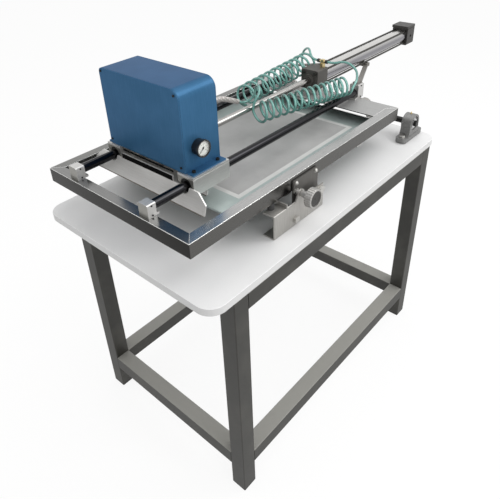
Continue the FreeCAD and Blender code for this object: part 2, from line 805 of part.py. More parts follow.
def make_stays():
    """A saddle under the tube, with two flat stays that run forward to the rear rod blocks."""
    under = axis_z - cap_side / 2 + 3
    saddle = box((axis_x - saddle_width / 2, axis_x + saddle_width / 2),
                 (stay_reach - saddle_depth / 2, stay_reach + saddle_depth / 2),
                 (under - saddle_thickness, axis_z - tie_rod_pitch / 2 - tie_rod_radius))
    body = saddle.cut(bar_y(tube_radius + seat_clearance, axis_x,
                            (stay_reach - saddle_depth, stay_reach + saddle_depth), axis_z))
    front_z = frame_top + rear_block_height
    for x in rod_x:
        start = Vector(x, rear_block_y + rod_block_depth_rear + stay_gap, front_z)
        inward = 1 if x < axis_x else -1
        end = Vector(axis_x - inward * saddle_width * 0.36, stay_reach, under - saddle_thickness)
        side = Vector(stay_width / 2, 0, 0)
        face = polygon([start - side, start + side, end + side, end - side])
        body = body.fuse(face.extrude(Vector(0, 0, stay_thickness)))
        tab = box((x - stay_width / 2, x + stay_width / 2),
                  (rear_block_y + block_chamfer, start.y), (front_z, front_z + stay_thickness))
        body = body.fuse(tab)
    return body.removeSplitter()


def make_cylinder():
    """The pneumatic drive cylinder with its mounts."""
    front_y = (cap_front, tube_front)
    rear_y = (tube_rear, cylinder_rear)
    tube = bar_y(tube_radius, axis_x, (tube_front, tube_rear), axis_z)
    tube = tube.cut(bar_y(bore_radius, axis_x, (tube_front - 1, tube_rear + 1), axis_z))
    ties = []
    for x, z in tie_rod_places():
        rod = bar_y(tie_rod_radius, x, (cap_front, cylinder_rear), z)
        nuts = [bar_y(tie_nut_radius, x, (cap_front - tie_nut_height, cap_front), z),
                bar_y(tie_nut_radius, x, (cylinder_rear, cylinder_rear + tie_nut_height), z)]
        ties.append(rod.fuse(nuts).removeSplitter())
    middle = (cap_front + tube_front) / 2
    foot = box((axis_x - front_foot_width / 2, axis_x + front_foot_width / 2),
               (middle - front_foot_depth / 2, middle + front_foot_depth / 2),
               (frame_top, axis_z - cap_side / 2))
    return {
        "cylinder_tube": [tube],
        "cylinder_front_cap": [make_cap(front_y, True)],
        "cylinder_rear_cap": [make_rear_cap(rear_y)],
        "tie_rods": ties,
        "cylinder_front_foot": [foot],
        "cylinder_stays": [make_stays()],
    }


def make_fitting():
    """The brass air fitting on the front cap with a push-in collar at each outlet."""
    seat = axis_z + cap_side / 2
    body_z = (seat + fitting_hex_height, seat + fitting_hex_height + fitting_body)
    port = seat + fitting_hex_height + fitting_body / 2
    hexagon_base = hexagon(fitting_hex_across, fitting_x, fitting_y, (seat, seat + fitting_hex_height))
    half = fitting_body / 2
    block = box((fitting_x - half, fitting_x + half), (fitting_y - half, fitting_y + half), body_z)
    block = block.makeFillet(2.0, edges_along(block, 2))
    arms = bar_x(collar_radius - 1.5, (fitting_x - fitting_arm, fitting_x + fitting_arm), fitting_y, port)
    brass = hexagon_base.fuse([block, arms]).removeSplitter()
    collars = []
    for side in (-1, 1):
        collars.append(bar_x(collar_radius, span(fitting_x + side * fitting_arm, side * collar_length),
                             fitting_y, port))
    return {"air_fitting": [brass], "push_in_collars": collars}


def make_piston():
    """Piston rod, piston and the coupler that ties the rod to the carriage."""
    piston_y = (tube_front + piston_front_gap, tube_front + piston_front_gap + piston_length)
    plate_y = (carriage_rear, carriage_rear + coupler_plate)
    coupler_end = plate_y[1] + coupler_length
    plate = box((axis_x - coupler_width / 2, axis_x + coupler_width / 2), plate_y,
                (axis_z - coupler_below, axis_z + coupler_above))
    plate = plate.makeFillet(4.0, [e for e in edges_along(plate, 1) if e.BoundBox.ZMin > axis_z])
    nut = bar_y(coupler_radius, axis_x, (plate_y[1], coupler_end), axis_z)
    flat_z = (axis_z - coupler_flat, axis_z + coupler_flat)
    nut = nut.common(box((axis_x - coupler_flat, axis_x + coupler_flat), (plate_y[1], coupler_end), flat_z)
                     .fuse(bar_y(coupler_radius, axis_x, (plate_y[1], coupler_end - 14), axis_z)))
    hole = bar_y(piston_rod_radius + seat_clearance, axis_x, (plate_y[1] + 6, coupler_end + 1), axis_z)
    coupler = plate.fuse(nut).removeSplitter().cut(hole)
    rod = bar_y(piston_rod_radius, axis_x, (plate_y[1] + 7, piston_y[1]), axis_z)
    piston = bar_y(bore_radius - piston_clearance, axis_x, piston_y, axis_z)
    groove_y = (piston_y[0] + piston_length * 0.42, piston_y[0] + piston_length * 0.58)
    groove = bar_y(bore_radius + 1, axis_x, groove_y, axis_z)
    groove = groove.cut(bar_y(bore_radius - 3, axis_x, groove_y, axis_z))
    piston = piston.cut(groove)
    piston = piston.cut(bar_y(piston_rod_radius + seat_clearance, axis_x,
                              (piston_y[0] - 1, piston_y[1] + 1), axis_z))
    return {"piston_rod": [rod], "piston": [piston], "rod_coupler": [coupler]}


def lift_places(row_y):
    """The two guide pins of a squeegee, which stand either side of its lift rod."""
    return [(head_centre + side * lift_pin_pitch / 2, row_y) for side in (-1, 1)]


def make_carriage():
    """Bearing blocks on the guide rods, their ball bushes, and the plate that joins them."""
    blocks = []
    bushes = []
    for x in rod_x:
        half = bearing_block_width / 2
        block = box((x - half, x + half), (carriage_front, carriage_rear), (block_bottom, block_top))
        block = block.makeFillet(1.0, edges_along(block, 1))
        blocks.append(block.cut(bar_y(bush_radius, x, (carriage_front - 1, carriage_rear + 1), rod_z)))
        starts = (carriage_front + bush_inset, carriage_rear - bush_inset - bush_length)
        for start in starts:
            bush = bar_y(bush_radius - seat_clearance, x, (start, start + bush_length), rod_z)
            for groove_start in (start + 6, start + bush_length - 6 - bush_groove):
                groove_y = (groove_start, groove_start + bush_groove)
                groove = bar_y(bush_radius + 1, x, groove_y, rod_z)
                groove = groove.cut(bar_y(bush_radius - 1.2, x, groove_y, rod_z))
                bush = bush.cut(groove)
            bore = bar_y(rod_radius + running_clearance, x, (start - 1, start + bush_length + 1), rod_z)
            bushes.append(bush.cut(bore))
    plate = box((carriage_left, carriage_right), (carriage_front, carriage_rear), (block_top, plate_top))
    notch_x = (rod_x[0] + bearing_block_width / 2, rod_x[1] - bearing_block_width / 2)
    plate = plate.cut(box(notch_x, (carriage_front - 1, carriage_front + carriage_notch),
                          (block_top - 1, plate_top + 1)))
    for row_y in lift_rows:
        for x, y in lift_places(row_y):
            plate = plate.cut(bar_z(lift_pin_radius + running_clearance, x, y,
                                    (block_top - 1, plate_top + 1)))
        plate = plate.cut(bar_z(lift_rod_radius + running_clearance, head_centre, row_y,
                                (block_top - 1, plate_top + 1)))
    return {"bearing_blocks": blocks, "linear_bushings": bushes, "carriage_plate": [plate]}


def cover_profile(inset):
    """The cover's outline across the machine, with two rounded top corners."""
    left = cover_left + inset
    right = cover_right - inset
    top = cover_top - inset
    left_radius = cover_left_radius - inset
    right_radius = cover_right_radius - inset
    left_side = left_radius * math.sqrt(0.5)
    right_side = right_radius * math.sqrt(0.5)
    y = 0.0
    corner_left = Vector(left + left_radius, y, top - left_radius)
    corner_right = Vector(right - right_radius, y, top - right_radius)
    start = Vector(left, y, plate_top)
    left_end = Vector(left, y, top - left_radius)
    left_mid = corner_left + Vector(-left_side, 0, left_side)
    top_left = Vector(left + left_radius, y, top)
    top_right = Vector(right - right_radius, y, top)
    right_mid = corner_right + Vector(right_side, 0, right_side)
    right_end = Vector(right, y, top - right_radius)
    last = Vector(right, y, plate_top)
    edges = [
        Part.LineSegment(start, left_end).toShape(),
        Part.Arc(left_end, left_mid, top_left).toShape(),
        Part.LineSegment(top_left, top_right).toShape(),
        Part.Arc(top_right, right_mid, right_end).toShape(),
        Part.LineSegment(right_end, last).toShape(),
        Part.LineSegment(last, start).toShape(),
    ]
    return Part.Face(Part.Wire(edges))


def cover_solid(inset, y):
    """The cover's outline given a depth along Y."""
    face = cover_profile(inset)
    face.translate(Vector(0, y[0], 0))
    return face.extrude(Vector(0, y[1] - y[0], 0))


def cover_screw_places():
    """The four corner screws of the front and the rear panel."""
    low = plate_top + cover_screw_inset
    left = cover_left + cover_left_screw_inset
    right = cover_right - cover_screw_inset
    return [(left, low), (left, cover_top - cover_left_screw_inset),
            (right, low), (right, cover_top - cover_screw_inset)]


def flange_screw_places():
    """The screws through the cover's two foot flanges."""
    left = (carriage_left + cover_left) / 2 - 0.5
    right = cover_right + (carriage_right - foot_flange_margin - cover_right) / 2
    rows = (cover_front + flange_screw_front, cover_rear - flange_screw_rear)
    return [(x, y) for x in (left, right) for y in rows]


def make_cover():
    """The rounded cover, its front and rear panels, and all the screws of the head."""
    shell_y = (cover_front + cover_wall, cover_rear - cover_wall)
    shell = cover_solid(0.0, shell_y)
    shell = shell.cut(cover_solid(cover_wall, (shell_y[0] - 1, shell_y[1] + 1)))
    floor = box((cover_left + cover_wall, cover_right - cover_wall), (shell_y[0] - 1, shell_y[1] + 1),
                (plate_top - 1, plate_top + cover_wall + 1))
    shell = shell.cut(floor)
    feet = [box((carriage_left + 1, cover_left + 1), shell_y, (plate_top, plate_top + cover_wall)),
            box((cover_right - 1, carriage_right - foot_flange_margin), shell_y,
                (plate_top, plate_top + cover_wall))]
    bosses = [bar_y(cover_boss_radius, x, shell_y, z) for x, z in cover_screw_places()]
    low = plate_top + cover_screw_inset
    for edge, inward in ((cover_left, 1), (cover_right, -1)):
        rib_x = span(edge + inward, inward * (cover_screw_inset - 1))
        bosses.append(box(rib_x, shell_y, (low - cover_wall, low + cover_wall)))
    shell = shell.fuse(feet + bosses).removeSplitter()
    shell = shell.cut(bar_x(spindle_radius + 4.2, (cover_right - cover_wall - 1, cover_right + 1),
                            gauge_y, gauge_z))
    front = cover_solid(0.0, (cover_front, shell_y[0]))
    rear = cover_solid(0.0, (shell_y[1], cover_rear))
    rear = rear.cut(bar_y(conduit_radius + seat_clearance, conduit_x,
                          (shell_y[1] - 1, cover_rear + 1), conduit_high))
    screws = []
    for x, z in cover_screw_places():
        for plane, outward in ((cover_front, -1), (cover_rear, 1)):
            head = bar_y(panel_screw_radius, x, span(plane, outward * 2.2), z)
            socket = bar_y(panel_screw_radius * 0.45, x, span(plane + outward * 1.0, outward * 2.0), z)
            screws.append(head.cut(socket))
    for x, y in flange_screw_places():
        seat = plate_top + cover_wall
        head = bar_z(flange_screw_radius, x, y, (seat, seat + flange_screw_radius))
        socket = bar_z(flange_screw_radius * 0.5, x, y, (seat + 2.5, seat + flange_screw_radius + 1))
        screws.append(head.cut(socket))
    return {
        "cover_shell": [shell],
        "cover_front_panel": [front],
        "cover_rear_panel": [rear],
        "head_screws": screws,
    }


def make_gauge():
    """The pressure gauge: case with its rim, lens, and needle on a spindle."""
    face_x = cover_right + gauge_depth
    case = bar_x(gauge_radius - 2, (cover_right, face_x - 4), gauge_y, gauge_z)
    rim = bar_x(gauge_radius, (face_x - 8, face_x), gauge_y, gauge_z)
    stem = bar_x(spindle_radius + 4, (cover_right - cover_wall - 8, cover_right + 1), gauge_y, gauge_z)
    case = case.fuse([rim, stem]).removeSplitter()
    dial_x = face_x - gauge_dial_depth
    case = case.cut(bar_x(gauge_radius - gauge_rim, (dial_x, face_x + 1), gauge_y, gauge_z))
    case = case.cut(bar_x(spindle_radius + running_clearance, (dial_x - 3, dial_x + 1), gauge_y, gauge_z))
    lens = bar_x(gauge_radius - gauge_rim - seat_clearance,
                 (face_x - gauge_lens_thickness - 0.5, face_x - 0.5), gauge_y, gauge_z)
    needle_x = (dial_x + 1.2, dial_x + 1.2 + needle_thickness)
    outline = [(gauge_y - needle_tail, gauge_z - 1.1), (gauge_y + needle_length, gauge_z - 0.3),
               (gauge_y + needle_length, gauge_z + 0.3), (gauge_y - needle_tail, gauge_z + 1.1)]
    pointer = slab_x(outline, needle_x)
    pointer.rotate(Vector(0, gauge_y, gauge_z), Vector(1, 0, 0), 222)
    hub = bar_x(needle_hub_radius, (needle_x[0] - 0.4, needle_x[1] + 0.4), gauge_y, gauge_z)
    spindle = bar_x(spindle_radius, (dial_x - 2.5, needle_x[1]), gauge_y, gauge_z)
    needle = pointer.fuse([hub, spindle]).removeSplitter()
    return {"gauge_case": [case], "gauge_lens": [lens], "gauge_needle": [needle]}


def make_holder(top, wall_y, width, end_top, shoulder, web_top, row_y):
    """A blade holder: leaning plate with sloped shoulders, upright web and a flange behind it."""
    half = width / 2
    back = wall_y - holder_slope * (top - holder_bottom)
    outline = [(-half, holder_bottom), (half, holder_bottom), (half, end_top),
               (half - shoulder, top), (shoulder - half, top), (-half, end_top)]

    def lean_y(z):
        """Where the holder's rear face lies at a height."""
        return wall_y + (back - wall_y) * (top - z) / (top - holder_bottom)

    face = polygon([Vector(head_centre + x, lean_y(z), z) for x, z in outline])
    holder = face.extrude(Vector(0, -holder_plate, 0))
    web_x = (head_centre - web_width / 2, head_centre + web_width / 2)
    web = box(web_x, (wall_y - holder_plate, wall_y), (top - 2, web_top))
    flange = box(web_x, (wall_y - holder_plate, row_y + lift_flange_margin),
                 (lift_flange_height, lift_flange_height + holder_plate))
    holder = holder.fuse([web, flange]).removeSplitter()
    for x in rod_x:
        holder = holder.cut(bar_y(rod_radius + rod_notch, x, (wall_y - rod_notch_reach, wall_y + 1), rod_z))
    for x, y in lift_places(row_y):
        holder = holder.cut(bar_z(lift_pin_radius + seat_clearance, x, y,
                                  (lift_flange_height - 1, lift_flange_height + holder_plate + 1)))
    holder = holder.cut(bar_z(lift_rod_radius + seat_clearance, head_centre, row_y,
                              (lift_flange_height - 1, lift_flange_height + holder_plate + 1)))
    blade_half = half - blade_margin
    blade_rows = [(-blade_half, blade_tip), (blade_half, blade_tip),
                  (blade_half, holder_bottom + blade_grip), (-blade_half, holder_bottom + blade_grip)]
    blade_face = polygon([Vector(head_centre + x, lean_y(z) + seat_clearance, z) for x, z in blade_rows])
    return holder, blade_face.extrude(Vector(0, blade_thickness, 0))


def make_lift_rods(row_y):
    """Two guide pins, and a lift rod with its piston."""
    pins = [bar_z(lift_pin_radius, x, y, (lift_flange_height, lift_pin_top))
            for x, y in lift_places(row_y)]
    piston_low = plate_top + lift_body_wall + blade_lift + 2
    rod = bar_z(lift_rod_radius, head_centre, row_y, (lift_flange_height, piston_low + 1))
    piston = bar_z(lift_bore_radius - piston_clearance, head_centre, row_y,
                   (piston_low, piston_low + lift_piston_height))
    return pins + [rod.fuse(piston).removeSplitter()]


def make_blades():
    """The squeegee in front of the carriage and the flood bar underneath it."""
    squeegee, rubber = make_holder(squeegee_top, carriage_front - squeegee_gap, squeegee_width,
                                   squeegee_end_top, squeegee_shoulder, web_top_front, lift_rows[0])
    flood, lip = make_holder(flood_top, carriage_front + flood_setback, flood_width,
                             flood_end_top, flood_shoulder, lift_flange_height + holder_plate,
                             lift_rows[1])
    return {
        "squeegee_holder": [squeegee],
        "squeegee_blade": [rubber],
        "squeegee_lift_rods": make_lift_rods(lift_rows[0]),
        "flood_bar_holder": [flood],
        "flood_bar_blade": [lip],
        "flood_bar_lift_rods": make_lift_rods(lift_rows[1]),
    }


def make_lift_cylinders():
    """The two short cylinders in the cover that raise and lower the squeegees."""
    bodies = []
    for row_y in lift_rows:
        body = box((head_centre - lift_body_width / 2, head_centre + lift_body_width / 2),
                   (row_y - lift_body_depth / 2, row_y + lift_body_depth / 2),
                   (plate_top, plate_top + lift_body_height))
        body = body.makeFillet(3.0, edges_along(body, 2))
        body = body.cut(bar_z(lift_bore_radius, head_centre, row_y,
                              (plate_top + lift_body_wall, plate_top + lift_body_height - lift_body_wall)))
        body = body.cut(bar_z(lift_rod_radius + running_clearance, head_centre, row_y,
                              (plate_top - 1, plate_top + lift_body_wall + 1)))
        bodies.append(body)
    return {"squeegee_cylinders": bodies}


def sweep_round(points, radius):
    """A round tube along straight runs, with a tangent arc at each inner point."""
    edges = []
    start = points[0]
    for before, corner, after in zip(points, points[1:], points[2:]):
        into = (corner - before).normalize()
        out = (after - corner).normalize()
        turn = into.getAngle(out)
        shorter = min((corner - before).Length, (after - corner).Length)
        cut_back = 0.45 * shorter
        arc_radius = cut_back / math.tan(turn / 2)
        first = corner - into * cut_back
        last = corner + out * cut_back
        centre_way = (out - into).normalize()
        centre = corner + centre_way * math.hypot(arc_radius, cut_back)
        middle = centre - centre_way * arc_radius
        edges.append(Part.LineSegment(start, first).toShape())
        edges.append(Part.Arc(first, middle, last).toShape())
        print("  bend radius %.1f" % arc_radius)
        start = last
    edges.append(Part.LineSegment(start, points[-1]).toShape())
    path = Part.Wire(edges)
    profile = Part.Wire([Part.Circle(points[0], points[1] - points[0], radius).toShape()])
    tube = path.makePipeShell([profile], True, False)
    expected = math.pi * radius ** 2 * path.Length
    print("  tube length %.1f, volume ratio %.4f" % (path.Length, tube.Volume / expected))
    return tube


def make_conduit():
    """The sleeve that carries the air hoses out of the head's rear panel."""
    path = [Vector(conduit_x, cover_rear - cover_wall - 12, conduit_high),
            Vector(conduit_x, conduit_bend_y, conduit_high),
            Vector(conduit_x, conduit_end_y, conduit_high - conduit_drop)]
    tube = sweep_round(path, conduit_radius)
    nut = bar_y(conduit_nut_radius, conduit_x, (cover_rear, cover_rear + conduit_nut_length), conduit_high)
    return {"hose_conduit": [tube.fuse(nut).removeSplitter()]}


def make_hoses():
    """Each coiled air hose as one fat bar of its outer diameter, with its two plain tails."""
    port_z = axis_z + cap_side / 2 + fitting_hex_height + fitting_body / 2
    port_reach = fitting_arm + collar_length + seat_clearance
    left_port = Vector(fitting_x - port_reach, fitting_y, port_z)
    right_port = Vector(fitting_x + port_reach, fitting_y, port_z)
    way = Vector(0, conduit_end_y - conduit_bend_y, -conduit_drop).normalize()
    mouth = Vector(conduit_x, conduit_end_y, conduit_high - conduit_drop) + way * hose_gap
    left_mouth = mouth - Vector(hose_spread, 0, 0)
    right_mouth = mouth + Vector(hose_spread, 0, 0)
    left_start, left_end = left_coil
    right_start, right_end = right_coil
    routes = {
        "left_air_hose": (left_start, left_end,
                          [left_mouth, left_mouth + way * left_hose_lead],
                          [left_end + step for step in left_bend]
                          + [left_port + step for step in left_port_bend] + [left_port]),
        "right_air_hose": (right_start, right_end,
                           [right_mouth, right_mouth + way * right_hose_lead]
                           + [mouth + step for step in right_arch] + [right_start + right_arch_foot],
                           [right_end + step for step in right_bend]
                           + [right_port + step for step in right_port_bend] + [right_port]),
    }
    coil_radii = {"left_air_hose": left_coil_radius, "right_air_hose": right_coil_radius}
    hoses = {}
    for name, (start, end, front_tail, rear_tail) in routes.items():
        axis = end - start
        coil = Part.makeCylinder(coil_radii[name], axis.Length, start, axis)
        tails = [sweep_round(front_tail, hose_radius), sweep_round(rear_tail, hose_radius)]
        hoses[name] = [coil.fuse(tails).removeSplitter()]
    return hoses


def make_lock_plate():
    """The steel plate on the frame's right wall that the clamp presses against."""
    z = (frame_bottom - lock_plate_bottom, frame_top - lock_plate_top)
    plate = box((frame_right, lock_face), (lock_plate_front, lock_plate_rear), z)
    return {"lock_plate": [plate.makeFillet(lock_plate_corner, edges_along(plate, 0))]}


def wall_screw(x, y, z, outward, radius):
    """A button head screw on an upright face that looks along X."""
    head = bar_x(radius, span(x, outward * radius * 0.9), y, z)
    socket = bar_x(radius * 0.45, span(x + outward * radius * 0.4, outward * radius), y, z)
    return head.cut(socket)


def make_frame_screws():
    """Screws of the rod blocks, the lock plate and the hinge arms."""
    screws = []
    for x in rod_x:
        for middle, height in ((front_block_y + rod_block_depth / 2, front_block_height),
                               (rear_block_y + rod_block_depth_rear / 2, rear_block_height)):
            for z in (frame_top + 5.0, frame_top + height - 5.5):
                screws.append(wall_screw(x + rod_block_width / 2, middle, z, 1, 2.2))
    plate_top_z = frame_top - lock_plate_top
    for y in (lock_plate_front + 12.0, lock_plate_rear - 12.0):
        screws.append(wall_screw(lock_face, y, plate_top_z - 9.0, 1, 4.5))
    for x in arm_places():
        for side in (-1, 1):
            for z in (frame_bottom + 10.0, frame_top - 10.0):
                place = x + side * (arm_foot_width / 2 - 6.5)
                y = (frame_rear + arm_foot_depth, frame_rear + arm_foot_depth + 4.0)
                screws.append(bar_y(4.0, place, y, z))
    return {"frame_screws": screws}


def build():
    """Every node of the machine by name, each a list of solids."""
    nodes = {}
    nodes.update(make_table(pillow_bolt_places() + bracket_bolt_places()))
    nodes.update(make_hinge_supports())
    nodes.update(make_brackets())
    nodes.update(make_clamp())
    nodes.update(make_hinge())
    nodes.update(make_rails())
    nodes.update(make_stencil())
    nodes.update(make_lock_plate())
    nodes.update(make_frame_screws())
    nodes.update(make_rods())
    nodes.update(make_cylinder())
    nodes.update(make_fitting())
    nodes.update(make_carriage())
    nodes.update(make_cover())
    nodes.update(make_gauge())
    nodes.update(make_lift_cylinders())
    nodes.update(make_conduit())
    nodes.update(make_piston())
    nodes.update(make_blades())
    nodes.update(make_hoses())
    return nodes


def export_all():
    """Write one STEP file per node, moved so that the origin is under the machine's middle."""
    os.makedirs("parts", exist_ok=True)
    front = -half_length
    rear = cylinder_rear + tie_nut_height
    shift = Vector(0, -(front + rear) / 2, 0)
    print("moved along Y by %.3f" % shift.y)
    for name, solids in build().items():
        shape = Part.makeCompound(solids) if len(solids) > 1 else solids[0]
        shape.translate(shift)
        assert shape.isValid(), name
        shape.exportStep("parts/%s.step" % name)
        print("%-24s solids %2d volume %.0f" % (name, len(shape.Solids), shape.Volume))


export_all()
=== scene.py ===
"""Looks of a flatbed screen printer on its table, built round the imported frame.

Every piece is in metres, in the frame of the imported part: +X to the operator's right, +Y from
the operator to the rear, +Z up, with the origin on the floor.
"""
import logging
import math
from collections.abc import Iterator
from contextlib import contextmanager
from dataclasses import dataclass
from enum import Enum

import bpy
from mathutils import Matrix, Vector

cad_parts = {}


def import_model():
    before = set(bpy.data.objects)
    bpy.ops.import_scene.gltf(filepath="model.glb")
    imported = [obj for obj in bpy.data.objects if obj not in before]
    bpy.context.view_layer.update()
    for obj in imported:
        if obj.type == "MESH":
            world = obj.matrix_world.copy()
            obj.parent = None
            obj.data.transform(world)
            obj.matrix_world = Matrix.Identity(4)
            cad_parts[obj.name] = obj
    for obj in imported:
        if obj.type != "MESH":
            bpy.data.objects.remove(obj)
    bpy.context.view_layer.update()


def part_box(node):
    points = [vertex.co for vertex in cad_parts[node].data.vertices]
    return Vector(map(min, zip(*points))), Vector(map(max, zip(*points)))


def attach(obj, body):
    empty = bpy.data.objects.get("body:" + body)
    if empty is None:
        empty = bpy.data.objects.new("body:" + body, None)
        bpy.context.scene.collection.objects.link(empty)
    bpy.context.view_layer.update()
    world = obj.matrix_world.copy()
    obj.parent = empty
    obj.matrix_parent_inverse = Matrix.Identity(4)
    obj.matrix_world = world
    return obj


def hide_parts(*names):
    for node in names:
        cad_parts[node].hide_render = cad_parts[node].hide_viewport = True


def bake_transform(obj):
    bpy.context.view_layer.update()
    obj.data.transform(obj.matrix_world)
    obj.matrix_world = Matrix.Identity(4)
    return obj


log = logging.getLogger("screen_printer")

Node = bpy.types.Node
Socket = bpy.types.NodeSocket
Piece = bpy.types.Object

MM = 0.001
MERGE_DISTANCE = 0.00002
COPLANAR_ANGLE = math.radians(0.6)
EDGE_ANGLE = math.radians(32.0)
TUBE_ANGLE = math.radians(60.0)
# The table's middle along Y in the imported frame, in metres.
TABLE_SHIFT = -0.2514
# Bands of a wave texture in one unit, at scale 1.
BANDS_PER_SCALE = 6.28


class Axis(Enum):
    """A direction of the machine that a grain or a cylinder runs along."""

    ACROSS = (1.0, 0.0, 0.0)
    ALONG = (0.0, 1.0, 0.0)
    UP = (0.0, 0.0, 1.0)


class Body(Enum):
    """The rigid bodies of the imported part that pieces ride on."""

    TABLE = "table"
    FRAME = "tilt_frame"
    HEAD = "print_head"
    POINTER = "gauge_pointer"
    SQUEEGEE = "squeegee"
    FLOOD = "flood_bar"
    PAD = "clamp_pad"
    HANDLE = "clamp_handle"


def linear(hex_code: str) -> tuple[float, float, float, float]:
    """Turn an sRGB hex colour into the linear colour that a shader needs.

    Args:
        hex_code: Six hex digits with a leading hash.

    Returns:
        Linear red, green, blue and an alpha of 1.
    """
    channels = [int(hex_code[i:i + 2], 16) / 255 for i in (1, 3, 5)]
    bright = [c / 12.92 if c <= 0.04045 else ((c + 0.055) / 1.055) ** 2.4 for c in channels]
    return (bright[0], bright[1], bright[2], 1.0)


def per_metre(size_mm: float) -> float:
    """The scale of a pattern whose features are this many millimetres wide."""
    return 1 / (size_mm * MM)


@dataclass(frozen=True)
class Facing:
    """A colour laid over a pattern by how squarely the surface looks along an axis.

    The normal's part along the axis is 0 to 1. At none the pattern shows alone, and at full
    the colour hides it.
    """

    color: str
    none: float
    full: float
    way: str = "Z"


@dataclass
class Work:
    """A node tree in the making and, in a finish, its shader and the place on the piece."""

    tree: bpy.types.NodeTree
    shader: Node | None = None
    place: Socket | None = None

    def add(self, kind: str, settings: dict | None = None, links: dict | None = None) -> Node:
        """Add a shader node with its settings and its incoming links.

        Args:
            kind: Blender's name of the node type, without its ShaderNode prefix. A texture
                or mapping reads the place on the piece, where links gives it nothing else.
            settings: Socket names or indices, or node attributes, and their values.
            links: Input sockets by name or index, and what feeds them: an output socket, or
                a node, which gives its factor or else its first output.

        Returns:
            The new node.
        """
        node = self.tree.nodes.new("ShaderNode" + kind)
        for key, value in (settings or {}).items():
            if isinstance(key, str) and hasattr(node, key) and key not in node.inputs:
                setattr(node, key, value)
            else:
                node.inputs[key].default_value = value
        placed = {"Vector": self.place} if kind in ("TexNoise", "TexWave", "Mapping") else {}
        for key, source in (placed | (links or {})).items():
            if isinstance(source, Node):
                source = source.outputs.get("Fac") or source.outputs[0]
            self.tree.links.new(source, node.inputs[key])
        return node

    def settle(self, values: dict) -> None:
        """Set constants on the shader's own sockets."""
        for name, value in values.items():
            self.shader.inputs[name].default_value = value

    def lay(self, share: Node, over: str) -> None:
        """Lay a colour over what the shader shows so far.

        Args:
            share: The node with the upper colour's share.
            over: The upper colour.
        """
        shown = self.shader.inputs["Base Color"]
        node = self.add("Mix", {"data_type": "RGBA"}, {0: share})
        lower, upper = [s for s in node.inputs if s.type == "RGBA"]
        lower.default_value = shown.default_value
        upper.default_value = linear(over)
        if shown.is_linked:
            self.tree.links.new(shown.links[0].from_socket, lower)
        self.tree.links.new([s for s in node.outputs if s.type == "RGBA"][0], shown)

    def stain(self, source: Node, over: str, span: tuple[float, float],
              most: float = 1.0) -> None:
        """Lay a colour over what shows so far where a pattern is strong.

        Args:
            source: The pattern.
            over: The upper colour.
            span: The pattern's values where the colour starts and where it is fullest.
            most: The colour's share where it is fullest.
        """
        share = self.add("MapRange", {"From Min": span[0], "From Max": span[1], "To Max": most},
                         {"Value": source})
        self.lay(share, over)

    def face(self, facing: Facing) -> None:
        """Lay a facing's colour over what shows so far.

        Args:
            facing: The colour and where the surface shows it.
        """
        normal = self.add("SeparateXYZ", links={0: self.add("TexCoord").outputs["Normal"]})
        level = self.add("Math", {"operation": "ABSOLUTE"}, {0: normal.outputs[facing.way]})
        self.stain(level, facing.color, (facing.none, facing.full))

    def uneven(self, source: Node, less: float, more: float) -> None:
        """Let the roughness follow a pattern.

        Args:
            source: The pattern, from 0 to 1.
            less: How far the roughness falls where the pattern is 0.
            more: How far it rises where the pattern is 1.
        """
        own = self.shader.inputs["Roughness"].default_value
        rough = self.add("MapRange", {"To Min": own - less, "To Max": own + more},
                         {"Value": source})
        self.tree.links.new(rough.outputs[0], self.shader.inputs["Roughness"])

    def bump(self, height: Node, strength: float, depth_mm: float) -> None:
        """Feed a height pattern into the shader's normal.

        Args:
            height: The pattern, from 0 to 1.
            strength: How much of the slope is kept.
            depth_mm: The pattern's real depth.
        """
        node = self.add("Bump", {"Strength": strength, "Distance": depth_mm * MM},
                        {"Height": height})
        self.tree.links.new(node.outputs["Normal"], self.shader.inputs["Normal"])


@dataclass(frozen=True)
class Finish:
    """A surface finish. Each kind adds its own pattern to the shader."""

    name: str
    color: str
    roughness: float = 0.5
    metallic: float = 0.0
    slot: str = ""
    faces: tuple[Facing, ...] = ()

    def pattern(self, work: Work) -> None:
        """Add what makes this finish more than one flat colour.

        Args:
            work: The material in the making.
        """

    def build(self) -> bpy.types.Material:
        """Make the material, or return it if it has been made.

        Returns:
            The Blender material.
        """
        found = bpy.data.materials.get(self.name)
        if found is not None:
            return found
        material = bpy.data.materials.new(self.name)
        material.use_nodes = True
        work = Work(material.node_tree, material.node_tree.nodes["Principled BSDF"])
        work.place = work.add("TexCoord").outputs["Object"]
        work.settle({"Base Color": linear(self.color), "Roughness": self.roughness,
                     "Metallic": self.metallic})
        self.pattern(work)
        for facing in self.faces:
            work.face(facing)
        return material


@dataclass(frozen=True)
class PowderCoat(Finish):
    """Baked polyester powder on steel: slight orange peel and rubbed patches."""

    rubbed: str = "#504e49"
    peel_mm: float = 2.2
    patch_mm: float = 90.0

    def pattern(self, work: Work) -> None:
        """Orange peel in the bump, and broad soft patches in the colour.

        Args:
            work: The material in the making.
        """
        peel = work.add("TexNoise", {"Scale": per_metre(self.peel_mm), "Detail": 2.0})
        cloud = work.add("TexNoise", {"Scale": per_metre(self.patch_mm), "Detail": 4.0})
        work.stain(cloud, self.rubbed, (0.45, 0.75), 0.35)
        work.uneven(cloud, 0.05, 0.1)
        work.bump(peel, 0.12, 0.2)


